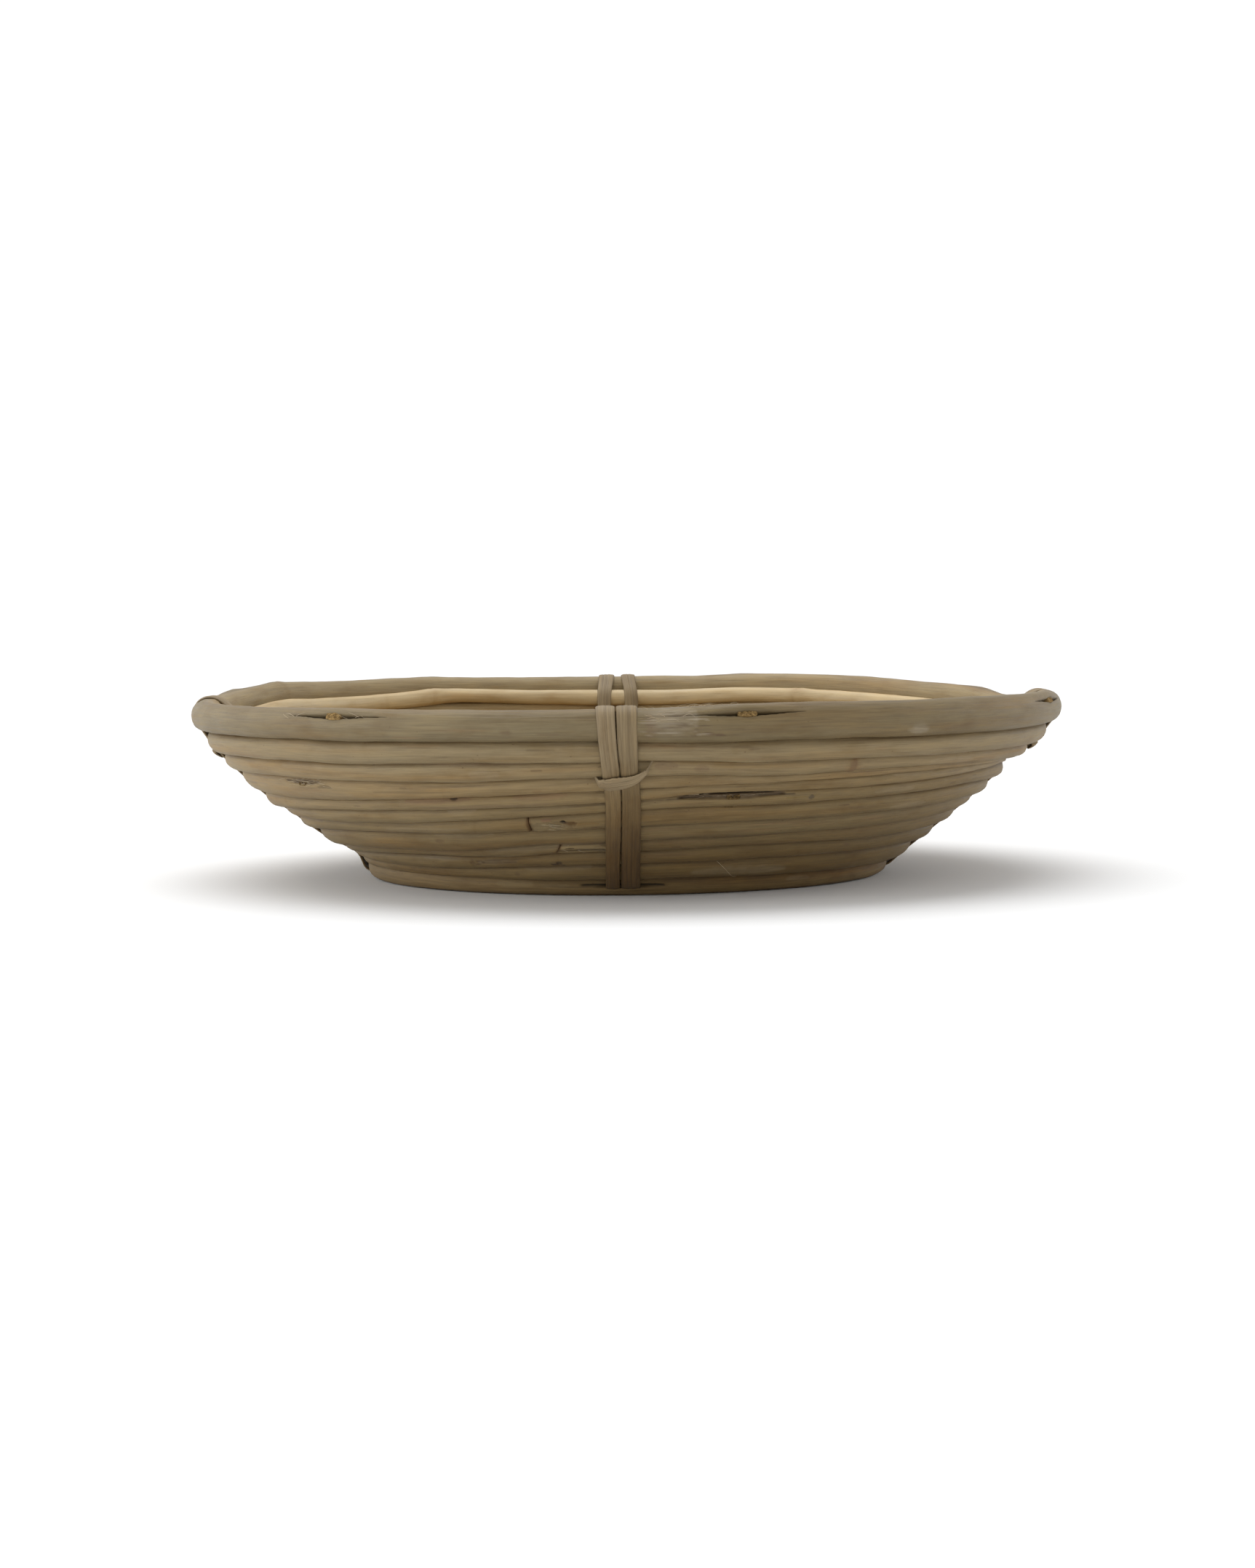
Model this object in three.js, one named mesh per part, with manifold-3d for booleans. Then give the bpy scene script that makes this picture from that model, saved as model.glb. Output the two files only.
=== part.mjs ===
// Winnowing basket: a shallow round tray of peeled rods bent into stacked hoops,
// bound at four places by pairs of split-cane bands and pinned with flat pegs.
// Millimetres, +Z up. Azimuth 0 is the front (-Y) and grows towards the right (+X).
// The basket stands on its foot hoop at z = 0, centred on the Z axis.
import * as THREE from 'three';
import { mergeVertices } from 'three/addons/utils/BufferGeometryUtils.js';
import Module from 'manifold-3d';

const wasm = await Module();
wasm.setup();
const { Manifold, Mesh: SolidMesh } = wasm;

// ---------------------------------------------------------------- dimensions
const RIM_R = 217;              // rim rod: centre line radius
const RIM_ROD = 7;              // rim rod: radius of the rod
const RIM_Z = [84.6, 85.0, 85.2, 89.5]; // rim centre height at left, right, front, back
const INNER_ROD = 4.4;          // inner rim rod: radius of the rod
const INNER_DROP = 5;           // inner rim rod: centre below the rim's centre
const FOOT_R = 129;             // foot hoop: centre line radius
const FOOT_ROD = 6;             // foot hoop: radius of the rod
const FLOOR_ROD = 4.4;          // floor coil: radius of the rod
const FLOOR_PITCH = 9.2;        // floor coil: distance between turns
const FLOOR_Z = 10.2;           // floor coil: centre height
const GAP = 0.3;                // clearance between neighbouring pieces
const BUTT = 0.6;               // gap between a rod's two ends
const SIDES = 8;                // faces around a rod
const STEPS = 40;               // segments around a hoop
const BAND = 1.2;               // thickness of a split-cane band
const PEG = { width: 8, thick: 3, tilt: 26 };        // rim pegs, tilt in degrees
const WALL_PEG = { width: 6, thick: 2.4 };
const RIM_PEGS = [['front_right', 14.2], ['right', 70], ['back_right', 117], ['back', 162], ['back_left', 211], ['left', 254], ['front_left', 322.6]];
const WALL_PEGS = [['front_right', 15, 5], ['right', 75, 5], ['back_right', 135, 5], ['back_left', 195, 5], ['left', 255, 5], ['front_left', 308, 3]];

// Lines where one wall hoop meets the next, as heights at these azimuths.
const AZ = [-90, -60, -45, -30, -15, 0, 15, 30, 45, 60, 90, 180];
const SEAM = [
  [75.6, 76.9, 77.4, 77.4, 77.6, 77.4, 77.0, 77.2, 77.0, 77.1, 77.0, 82.0],
  [65.2, 66.0, 66.3, 67.2, 68.3, 68.8, 67.8, 68.2, 68.3, 68.6, 67.6, 72.2],
  [56.9, 57.8, 58.2, 58.5, 60.2, 61.7, 61.3, 62.1, 62.3, 61.9, 60.2, 63.6],
  [45.6, 46.2, 47.2, 49.8, 53.0, 55.2, 56.7, 57.9, 58.9, 59.2, 57.9, 54.6],
  [38.8, 41.0, 42.2, 44.0, 46.4, 49.6, 52.7, 53.4, 54.6, 56.0, 55.6, 47.0],
  [33.0, 35.0, 36.2, 38.2, 41.6, 44.3, 46.2, 46.9, 48.3, 49.9, 48.4, 39.9],
  [25.9, 29.2, 31.2, 32.4, 35.0, 37.2, 38.8, 39.6, 40.6, 41.8, 42.1, 33.0],
  [18.3, 21.2, 22.5, 23.3, 27.4, 30.2, 31.1, 32.4, 33.9, 35.6, 35.4, 26.3],
  [15.1, 17.6, 19.0, 19.5, 22.0, 24.2, 25.8, 26.8, 26.6, 28.0, 26.9, 20.3],
  [12.0, 13.0, 13.3, 13.9, 16.5, 17.8, 18.5, 19.0, 18.8, 19.6, 17.6, 14.8],
  [8.0, 8.6, 8.4, 8.6, 9.1, 9.3, 9.6, 9.6, 9.2, 9.2, 8.4, 8.8],
];
// Wall slope: radius of the wall's middle line against height, left and right.
const SLOPE_Z = [0, 8, 12, 18, 26, 34, 40, 46, 57, 66, 75, 78, 100];
const SLOPE_LEFT = [132, 133.4, 138, 146, 158, 169.6, 179, 187, 199.2, 208.6, 216, 217.4, 217.4];
const SLOPE_RIGHT = [132, 134.6, 140, 148.6, 157.4, 168.4, 177, 184, 195.6, 206.6, 217, 217.6, 217.6];

// ---------------------------------------------------------------- helpers
const rad = (deg) => (deg * Math.PI) / 180;
const lerp = (a, b, t) => a + (b - a) * t;
const interp = (x, xs, ys) => {
  if (x <= xs[0]) return ys[0];
  for (let i = 1; i < xs.length; i++) if (x <= xs[i]) return lerp(ys[i - 1], ys[i], (x - xs[i - 1]) / (xs[i] - xs[i - 1]));
  return ys[ys.length - 1];
};
const around = (az, values) => {            // smooth, periodic in azimuth
  const n = AZ.length;
  let a = az;
  while (a < AZ[0]) a += 360;
  while (a >= AZ[0] + 360) a -= 360;
  let i = 0;
  while (i < n - 1 && a >= AZ[i + 1]) i++;
  const at = (j) => ({ x: AZ[((j % n) + n) % n] + 360 * Math.floor(j / n), y: values[((j % n) + n) % n] });
  const [p, q, r, s] = [at(i - 1), at(i), at(i + 1), at(i + 2)];
  const h = r.x - q.x, t = (a - q.x) / h;
  const mq = ((r.y - p.y) / (r.x - p.x)) * h, mr = ((s.y - q.y) / (s.x - q.x)) * h;
  const t2 = t * t, t3 = t2 * t;
  return (2 * t3 - 3 * t2 + 1) * q.y + (t3 - 2 * t2 + t) * mq + (3 * t2 - 2 * t3) * r.y + (t3 - t2) * mr;
};
const rimZ = (az) => {
  const s = Math.sin(rad(az)), c = Math.cos(rad(az));
  const side = s < 0 ? RIM_Z[0] : RIM_Z[1], end = c > 0 ? RIM_Z[2] : RIM_Z[3];
  return side * s * s + end * c * c;
};
const seam = (k, az) => {
  const z = around(az, SEAM[k]);
  return [lerp(interp(z, SLOPE_Z, SLOPE_LEFT), interp(z, SLOPE_Z, SLOPE_RIGHT), (1 + Math.sin(rad(az))) / 2), z];
};
// Sections at an azimuth: centre radius, centre height and rod radius. Each wall hoop
// lies between two seams, and is thinned where a neighbour would touch it.
const footSection = () => ({ r: FOOT_R, z: FOOT_ROD, a: FOOT_ROD });
const rimSection = (az) => ({ r: RIM_R, z: rimZ(az), a: RIM_ROD });
const stackAt = (az) => {
  const stack = [{ ...rimSection(az), fixed: true }];
  for (let k = 1; k <= 10; k++) {
    const [r0, z0] = seam(k - 1, az), [r1, z1] = seam(k, az);
    stack.push({ r: (r0 + r1) / 2, z: (z0 + z1) / 2, a: Math.hypot(r0 - r1, z0 - z1) / 2 - GAP / 2 });
  }
  stack.push({ ...footSection(), fixed: true });
  for (let pass = 0; pass < 4; pass++) for (let i = 0; i < stack.length; i++) for (let j = i + 1; j < Math.min(i + 4, stack.length); j++) {
    const p = stack[i], q = stack[j], over = p.a + q.a + GAP + 0.03 - Math.hypot(p.r - q.r, p.z - q.z);
    if (over <= 0) continue;
    if (p.fixed) q.a -= over; else if (q.fixed) p.a -= over; else { p.a -= over / 2; q.a -= over / 2; }
  }
  return stack;
};
const wallSection = (k, az) => stackAt(az)[k];
const innerSection = (az) => {              // rests against the rim rod and hoop 1
  const rim = rimSection(az), one = wallSection(1, az), z = rim.z - INNER_DROP;
  const clear = (c) => {
    const need = c.a + INNER_ROD + GAP, dz = Math.abs(c.z - z);
    return dz >= need ? Infinity : c.r - Math.sqrt(need * need - dz * dz);
  };
  return { r: Math.min(clear(rim), clear(one)), z, a: INNER_ROD };
};

const unit = (v) => { const l = Math.hypot(v[0], v[1]) || 1; return [v[0] / l, v[1] / l]; };
const clean = (geometry) => {
  geometry.deleteAttribute('uv');
  geometry.deleteAttribute('normal');
  return mergeVertices(geometry, 1e-4);
};
const toSolid = (geometry) => {
  const g = clean(geometry);
  return new Manifold(new SolidMesh({
    numProp: 3,
    vertProperties: new Float32Array(g.attributes.position.array),
    triVerts: new Uint32Array(g.index.array),
  }));
};
const fromSolid = (solid) => {
  const m = solid.getMesh(), g = new THREE.BufferGeometry();
  const p = new Float32Array((m.vertProperties.length / m.numProp) * 3);
  for (let i = 0; i < p.length / 3; i++) for (let j = 0; j < 3; j++) p[3 * i + j] = m.vertProperties[m.numProp * i + j];
  g.setAttribute('position', new THREE.BufferAttribute(p, 3));
  g.setIndex(new THREE.BufferAttribute(new Uint32Array(m.triVerts), 1));
  return g;
};
const roundShape = (flatBottom) => {
  const pts = [];
  for (let i = 0; i < SIDES; i++) {
    const t = (2 * Math.PI * (i + 0.5)) / SIDES;
    pts.push(new THREE.Vector2(Math.cos(t), Math.sin(t)));
  }
  if (flatBottom) for (const p of pts) if (p.y < -0.7) p.set(Math.sign(p.x) * 0.5, -1);
  return new THREE.Shape(pts);
};
// A straight extrusion bent round the basket: its length becomes the azimuth.
const ring = (section, jointAz, flatBottom = false) => {
  const g = new THREE.ExtrudeGeometry(roundShape(flatBottom), { steps: STEPS, depth: STEPS, bevelEnabled: false });
  const p = g.attributes.position;
  for (let i = 0; i < p.count; i++) {
    const k = Math.round(p.getZ(i)), s = section(jointAz);
    const half = ((BUTT / 2) / s.r) * (180 / Math.PI);
    const az = k === 0 ? jointAz + half : k === STEPS ? jointAz + 360 - half : jointAz + (360 * k) / STEPS;
    const c = section(az), r = c.r + c.a * p.getX(i), t = rad(az);
    p.setXYZ(i, r * Math.sin(t), -r * Math.cos(t), c.z + c.a * p.getY(i));
  }
  return orient(g);
};
// Turns a bent extrusion right side out.
const orient = (g) => {
  const c = clean(g);
  const volume = (() => {
    const a = c.attributes.position, x = c.index;
    let v = 0;
    for (let i = 0; i < x.count; i += 3) {
      const A = new THREE.Vector3().fromBufferAttribute(a, x.getX(i));
      const B = new THREE.Vector3().fromBufferAttribute(a, x.getX(i + 1));
      const C = new THREE.Vector3().fromBufferAttribute(a, x.getX(i + 2));
      v += A.dot(B.cross(C));
    }
    return v;
  })();
  if (volume < 0) {
    const x = c.index;
    for (let i = 0; i < x.count; i += 3) { const t = x.getX(i); x.setX(i, x.getX(i + 1)); x.setX(i + 1, t); }
  }
  return c;
};

// ---------------------------------------------------------------- materials
const wood = (hex, roughness) => new THREE.MeshStandardMaterial({ color: hex, roughness, metalness: 0 });
const RIM_WOOD = wood(0x968768, 0.62);
const WALL_WOOD = [0x8d7c5a, 0x87754f, 0x826f4b, 0x7d6a47, 0x786544, 0x736040, 0x6e5c3d, 0x6a583a, 0x665437, 0x625134];
const PEG_WOOD = wood(0x6b4a2c, 0.8);
const CANE = wood(0x8f7f5e, 0.58);

const basket = new THREE.Group();
const add = (name, geometry, material) => {
  const g = geometry.index ? geometry : clean(geometry);
  g.computeVertexNormals();
  const mesh = new THREE.Mesh(g, material);
  mesh.name = name;
  basket.add(mesh);
};

// ---------------------------------------------------------------- pegs
const frameAt = (az) => ({
  out: new THREE.Vector3(Math.sin(rad(az)), -Math.cos(rad(az)), 0),
  side: new THREE.Vector3(Math.cos(rad(az)), Math.sin(rad(az)), 0),
});
// Flat bar from one point of the section plane to another.
const bar = (az, from, to, width, thick) => {
  const { out, side } = frameAt(az);
  const A = out.clone().multiplyScalar(from[0]).setZ(from[1]);
  const B = out.clone().multiplyScalar(to[0]).setZ(to[1]);
  const dir = B.clone().sub(A), length = dir.length();
  dir.normalize();
  const up = new THREE.Vector3().crossVectors(dir, side).normalize();
  const g = new THREE.BoxGeometry(width, thick, length);
  g.applyMatrix4(new THREE.Matrix4().makeBasis(side, up, dir).setPosition(A.clone().lerp(B, 0.5)));
  return orient(g);
};
const rimPeg = (az, grow) => {
  const rim = rimSection(az), inner = innerSection(az);
  const d = [inner.r - rim.r, inner.z - rim.z], l = Math.hypot(...d), u = [d[0] / l, d[1] / l];
  const start = -(RIM_ROD - 0.2) - (grow ? 3 : 0), end = l + INNER_ROD * 0.55 + (grow ? GAP : 0);
  const at = (t) => [rim.r + u[0] * t, rim.z + u[1] * t];
  return bar(az, at(start), at(end), PEG.width + (grow ? 2 * GAP : 0), PEG.thick + (grow ? 2 * GAP : 0));
};
const wallPeg = (az, k, grow) => {          // from the top of hoop k into the second hoop below
  const a = wallSection(k, az), b = wallSection(k + 2, az);
  const d = [b.r - a.r, b.z - a.z], l = Math.hypot(...d), u = [d[0] / l, d[1] / l];
  const at = (t) => [a.r + u[0] * t, a.z + u[1] * t];
  const start = -a.a * 0.55 - (grow ? GAP : 0), end = l + b.a * 0.45 + (grow ? GAP : 0);
  return bar(az, at(start), at(end), WALL_PEG.width + (grow ? 2 * GAP : 0), WALL_PEG.thick + (grow ? 2 * GAP : 0));
};
const rimSlots = RIM_PEGS.map(([, az]) => toSolid(rimPeg(az, true)));
const wallSlots = (k) => WALL_PEGS.filter((p) => k >= p[2] && k <= p[2] + 2).map(([, az, from]) => toSolid(wallPeg(az, from, true)));
for (const [name, az] of RIM_PEGS) add(`rim_peg_${name}`, rimPeg(az, false), PEG_WOOD);
for (const [name, az, k] of WALL_PEGS) add(`wall_peg_${name}`, wallPeg(az, k, false), PEG_WOOD);

// ---------------------------------------------------------------- bands
// A band is a strip of split cane worked as a belt: under the floor, out through a
// slit of the foot hoop, up the outside, over the rim, down the inside, across the
// floor and the same again on the far side. Its outline is drawn in the section
// plane through two opposite azimuths and extruded by its width.
const chain = (circles, extra, from, to, keep) => {   // convex hull between two angles
  const pts = [...extra];
  for (const [r, z, a] of circles) for (let t = from; t <= to; t += 15) pts.push([r + a * Math.cos(rad(t)), z + a * Math.sin(rad(t))]);
  pts.sort((p, q) => p[0] - q[0] || p[1] - q[1]);
  const half = (list) => {
    const h = [];
    for (const p of list) {
      while (h.length > 1) {
        const [a, b] = [h[h.length - 2], h[h.length - 1]];
        if ((b[0] - a[0]) * (p[1] - a[1]) - (b[1] - a[1]) * (p[0] - a[0]) <= 1e-9) h.pop(); else break;
      }
      h.push(p);
    }
    return h;
  };
  const hull = [...half(pts).slice(0, -1), ...half([...pts].reverse()).slice(0, -1)];
  const start = hull.findIndex((p) => keep(p));
  return [...hull.slice(start), ...hull.slice(0, start)];
};
const grown = (c, clear) => [c.r, c.z, c.a + clear];
// A point beside each wall hoop, on the outer (side 1) or the inner (side -1) face.
const beside = (az, clear, side) => {
  const list = [];
  for (let k = 1; k <= 10; k++) {
    const c = wallSection(k, az), p = wallSection(Math.max(k - 1, 1), az), q = wallSection(Math.min(k + 1, 10), az);
    const t = unit([p.r - q.r, p.z - q.z]), d = side * (c.a + clear);
    list.push([c.r + t[1] * d, c.z - t[0] * d]);
  }
  return list;
};
// Path of one half of the belt, from under the floor to the middle of the floor's top.
const halfBelt = (az, under, over) => {
  const rim = rimSection(az), one = wallSection(1, az), gap = 0.9 + BAND / 2, wide = 1.9 + BAND / 2;
  const exit = [FOOT_R + FOOT_ROD + 1.6, under];
  const outer = beside(az, gap, 1);
  const up = [exit];
  for (let k = 10; k > 2; k--) {
    const p = outer[k - 1], last = up[up.length - 1];
    if (p[0] > last[0] - 1 && p[1] > last[1] + 1.5) up.push(p);
  }
  const over1 = chain([grown(rim, gap), grown(one, gap)], [outer[1]], -120, 105, (p) => p === outer[1]);
  const topIndex = over1.reduce((best, p, i) => (p[1] > over1[best][1] ? i : best), 0);
  up.push(...over1.slice(0, topIndex + 1));
  const inner = beside(az, wide, -1);
  const ring2 = chain([grown(rim, gap), grown(one, wide), grown(innerSection(az), wide)], [inner[1]], 75, 270, (p) => p === inner[1]);
  const top2 = ring2.reduce((best, p, i) => (p[1] > ring2[best][1] ? i : best), 0);
  const list = [...ring2.slice(top2).filter((p) => p[0] < rim.r - 0.5), ...inner.slice(1)];
  const down = [];
  for (const p of list) {
    const q = down[down.length - 1];
    if (q && p[1] > q[1] - (inner.includes(p) ? 1 : 0.01)) continue;
    if (q && p[1] <= over + 1) {
      const t = (q[1] - over) / (q[1] - p[1]);
      down.push([lerp(q[0], p[0], t), over]);
      break;
    }
    down.push(p);
  }
  const end = down[down.length - 1];
  if (end[1] > over) down.push([end[0] - (end[1] - over), over]);
  return { exit, up, down };
};
// Thickens an open path into a strip outline.
const strip = (path, thick) => {
  const n = path.length, left = [], right = [];
  for (let i = 0; i < n; i++) {
    const a = path[Math.max(i - 1, 0)], b = path[i], c = path[Math.min(i + 1, n - 1)];
    const d1 = i > 0 ? unit([b[0] - a[0], b[1] - a[1]]) : unit([c[0] - b[0], c[1] - b[1]]);
    const d2 = i < n - 1 ? unit([c[0] - b[0], c[1] - b[1]]) : d1;
    const m = unit([-(d1[1] + d2[1]), d1[0] + d2[0]]);
    const k = (thick / 2) / Math.max(0.5, m[0] * -d1[1] + m[1] * d1[0]);
    left.push([b[0] + m[0] * k, b[1] + m[1] * k]);
    right.push([b[0] - m[0] * k, b[1] - m[1] * k]);
  }
  return [...left, ...right.reverse()];
};
const tidy = (path) => path.filter((p, i) => i === 0 || Math.hypot(p[0] - path[i - 1][0], p[1] - path[i - 1][1]) > 0.35);
const belt = (azA, azB, under, over, from, to, alongX) => {
  const A = halfBelt(azA, under, over), B = halfBelt(azB, under, over);
  const half = (h, s) => [[s * (h.exit[0] - 0.01), h.exit[1]], ...h.up.slice(1).map(([r, z]) => [s * r, z]), ...h.down.map(([r, z]) => [s * r, z])];
  const a = half(A, 1), b = half(B, -1);
  const path = tidy([[BUTT / 2, under], ...a, ...b.reverse(), [-BUTT / 2, under]]);
  const shape = new THREE.Shape(strip(path, BAND).map(([x, y]) => new THREE.Vector2(x, y)));
  const g = new THREE.ExtrudeGeometry(shape, { steps: 1, depth: to - from, bevelEnabled: false });
  const p = g.attributes.position;
  for (let i = 0; i < p.count; i++) {
    const u = p.getX(i), z = p.getY(i), w = from + p.getZ(i);
    if (alongX) p.setXYZ(i, u, w, z); else p.setXYZ(i, w, -u, z);
  }
  return orient(g);
};
const FB_UNDER = 4.7, LR_UNDER = 2.9, FB_OVER = 15.7, LR_OVER = 17.5;
const BELTS = [
  ['band_front_back_left', 0, 180, FB_UNDER, FB_OVER, -13.2, -5.2, false],
  ['band_front_back_right', 0, 180, FB_UNDER, FB_OVER, -4.6, 4.6, false],
  ['band_side_front', 90, -90, LR_UNDER, LR_OVER, -0.6, 7.6, true],
  ['band_side_back', 90, -90, LR_UNDER, LR_OVER, 8.2, 16.4, true],
];
for (const [name, ...rest] of BELTS) add(name, belt(...rest), CANE);

// Slits of the foot hoop that the bands leave through.
const block = (x0, x1, y0, y1, z0, z1) => {
  const g = new THREE.BoxGeometry(x1 - x0, y1 - y0, z1 - z0);
  g.translate((x0 + x1) / 2, (y0 + y1) / 2, (z0 + z1) / 2);
  return g;
};
const slit = (under) => [under - BAND / 2 - GAP, under + BAND / 2 + GAP];
const footSlits = [
  block(-22, 18, -145, -115, ...slit(FB_UNDER)), block(-22, 18, 115, 145, ...slit(FB_UNDER)),
  block(-145, -115, -4, 20, ...slit(LR_UNDER)), block(115, 145, -4, 20, ...slit(LR_UNDER)),
].map(toSolid);

// ---------------------------------------------------------------- ties
// A short strip across each pair of bands, its two legs pushed into the wall.
const TIES = [['tie_front', 0, 3, -4.3, 22], ['tie_right', 90, 2, 7.9, 21], ['tie_back', 180, 3, 4.3, 22], ['tie_left', 270, 3, -7.9, 21]];
const tieGeometry = (az, k, centre, width, grow) => {
  const { out, side } = frameAt(az), c = wallSection(k, az);
  const outerPath = halfBelt(az, az % 180 === 0 ? FB_UNDER : LR_UNDER, FB_OVER).up;
  let i = 1;
  while (i < outerPath.length - 1 && outerPath[i][1] < c.z) i++;
  const [p, q] = [outerPath[i - 1], outerPath[i]], d = unit([q[0] - p[0], q[1] - p[1]]);
  const nrm = [d[1], -d[0]];
  const reach = (c.r - p[0]) * nrm[0] + (c.z - p[1]) * nrm[1];  // rod centre below the band's middle
  const along = (c.r - p[0]) * d[0] + (c.z - p[1]) * d[1];
  const g = grow ? GAP : 0, w = width / 2, t = 1.2, top = BAND / 2 + 0.35, inner = reach + c.a * 0.1;
  const s = new THREE.Shape([
    [-w - t - g, top + t + g], [-w - t - g, inner - g], [-w + g, inner - g], [-w + g, top - g],
    [w - g, top - g], [w - g, inner - g], [w + t + g, inner - g], [w + t + g, top + t + g],
  ].map(([x, y]) => new THREE.Vector2(x, y)));
  const depth = 4 + 2 * g;
  const e = new THREE.ExtrudeGeometry(s, { steps: 1, depth, bevelEnabled: false });
  e.translate(centre, 0, -depth / 2);
  const D = out.clone().multiplyScalar(d[0]).setZ(d[1]);
  const N = out.clone().multiplyScalar(nrm[0]).setZ(nrm[1]);
  const O = out.clone().multiplyScalar(p[0] + d[0] * along).setZ(p[1] + d[1] * along);
  const pos = e.attributes.position, v = new THREE.Vector3();
  for (let j = 0; j < pos.count; j++) {
    v.copy(O).addScaledVector(side, pos.getX(j)).addScaledVector(N, pos.getY(j)).addScaledVector(D, pos.getZ(j));
    pos.setXYZ(j, v.x, v.y, v.z);
  }
  return orient(e);
};
const tieSlots = {};
for (const [name, az, k, centre, width] of TIES) {
  add(name, tieGeometry(az, k, centre, width, false), CANE);
  tieSlots[name] = toSolid(tieGeometry(az, k, centre, width, true));
}

// ---------------------------------------------------------------- rods
const cut = (geometry, tools) => {
  let solid = toSolid(geometry);
  for (const t of tools) solid = solid.subtract(t);
  return fromSolid(solid);
};
const allTies = Object.values(tieSlots);
add('rim_hoop', cut(ring(rimSection, 0), rimSlots), RIM_WOOD);
add('inner_rim_hoop', cut(ring(innerSection, 117), rimSlots), RIM_WOOD);
const JOINTS = [144, 225, 171, 198, 243, -15, 126, -12.1, 216, 153];   // hoops 1 to 10
for (let k = 1; k <= 10; k++) {
  const tools = [...wallSlots(k), ...(k >= 2 && k <= 4 ? allTies : [])];
  const g = ring((az) => wallSection(k, az), JOINTS[k - 1]);
  add(`wall_hoop_${String(k).padStart(2, '0')}`, tools.length ? cut(g, tools) : g, wood(WALL_WOOD[k - 1], 0.66));
}
add('foot_hoop', cut(ring(footSection, 216, true), footSlits), wood(0x6a5b3e, 0.7));

// Floor: one rod coiled flat inside the foot hoop. Its outer end tapers to a tip over
// the first turn, so that the coil fills the ring.
const FLOOR_OUT = FOOT_R - FOOT_ROD - 0.8, PER_TURN = 18, TIP = 0.3;
const floorTurns = (FLOOR_OUT - 2 * FLOOR_ROD - 1.8) / FLOOR_PITCH + 1;
const floorSteps = Math.round(floorTurns * PER_TURN);
const coil = () => {
  const pts = [];
  for (let i = 0; i < 6; i++) pts.push(new THREE.Vector2(Math.cos((i * Math.PI) / 3), Math.sin((i * Math.PI) / 3)));
  const g = new THREE.ExtrudeGeometry(new THREE.Shape(pts), { steps: floorSteps, depth: floorSteps, bevelEnabled: false });
  const p = g.attributes.position;
  for (let i = 0; i < p.count; i++) {
    const k = Math.round(p.getZ(i)), turn = k / PER_TURN, t = 2 * Math.PI * turn;
    const rod = lerp(TIP, FLOOR_ROD, Math.min(turn, 1));
    const edge = turn < 1 ? turn : 1 + FLOOR_PITCH * (turn - 1);
    const r = FLOOR_OUT - edge - rod + rod * p.getX(i);
    p.setXYZ(i, r * Math.sin(t), -r * Math.cos(t), FLOOR_Z - FLOOR_ROD + rod + rod * p.getY(i));
  }
  return orient(g);
};
add('floor_coil', coil(), wood(0x6f5f41, 0.7));

export default basket;
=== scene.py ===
# Winnowing basket: the looks. Lengths in this file are millimetres in the section
# maths and become metres when a mesh is written.
import bpy, math
import numpy as np
from mathutils import Matrix, Vector


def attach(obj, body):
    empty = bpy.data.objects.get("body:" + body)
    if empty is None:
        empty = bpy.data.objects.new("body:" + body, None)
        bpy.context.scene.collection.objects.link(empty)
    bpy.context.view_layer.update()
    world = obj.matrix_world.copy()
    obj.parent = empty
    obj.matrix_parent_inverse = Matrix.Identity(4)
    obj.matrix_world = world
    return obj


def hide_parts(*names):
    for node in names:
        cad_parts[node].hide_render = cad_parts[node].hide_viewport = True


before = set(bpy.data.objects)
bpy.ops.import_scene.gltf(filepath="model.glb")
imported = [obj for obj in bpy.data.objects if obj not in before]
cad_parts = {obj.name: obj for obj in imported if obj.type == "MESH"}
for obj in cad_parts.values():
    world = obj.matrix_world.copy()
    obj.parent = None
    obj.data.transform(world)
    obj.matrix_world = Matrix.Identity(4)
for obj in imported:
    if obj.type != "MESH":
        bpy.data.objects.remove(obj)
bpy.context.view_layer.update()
MM = 0.001

# ------------------------------------------------------------------ noise
def _hash(ix, iy, iz, seed):
    h = (ix.astype(np.int64) * 374761393 + iy.astype(np.int64) * 668265263
         + iz.astype(np.int64) * 2147483647 + seed * 144269)
    h = (h ^ (h >> 13)) * 1274126177
    h = h & 0xFFFFFFFF
    h = (h ^ (h >> 16)) * 2246822519
    h = h & 0xFFFFFFFF
    return ((h ^ (h >> 15)) & 0xFFFFFF) / float(0xFFFFFF) * 2 - 1

def vnoise(x, y=0.0, z=0.0, seed=0):
    x, y, z = np.broadcast_arrays(np.asarray(x, float), np.asarray(y, float), np.asarray(z, float))
    ix, iy, iz = np.floor(x), np.floor(y), np.floor(z)
    fx, fy, fz = x - ix, y - iy, z - iz
    fx, fy, fz = (f * f * (3 - 2 * f) for f in (fx, fy, fz))
    out = 0.0
    for a in (0, 1):
        for b in (0, 1):
            for c in (0, 1):
                w = (fx if a else 1 - fx) * (fy if b else 1 - fy) * (fz if c else 1 - fz)
                out = out + w * _hash(ix + a, iy + b, iz + c, seed)
    return out

def fbm(x, y=0.0, z=0.0, seed=0, octaves=3):
    out, amp, tot, k = 0.0, 1.0, 0.0, 1.0
    for o in range(octaves):
        out = out + amp * vnoise(np.asarray(x) * k, np.asarray(y) * k, np.asarray(z) * k, seed + 17 * o)
        tot += amp
        amp *= 0.5
        k *= 2.03
    return out / tot

def smooth(e0, e1, x):
    t = np.clip((x - e0) / (e1 - e0), 0, 1)
    return t * t * (3 - 2 * t)

def bell(x, centre, width):
    return np.exp(-((x - centre) / width) ** 2)

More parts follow.
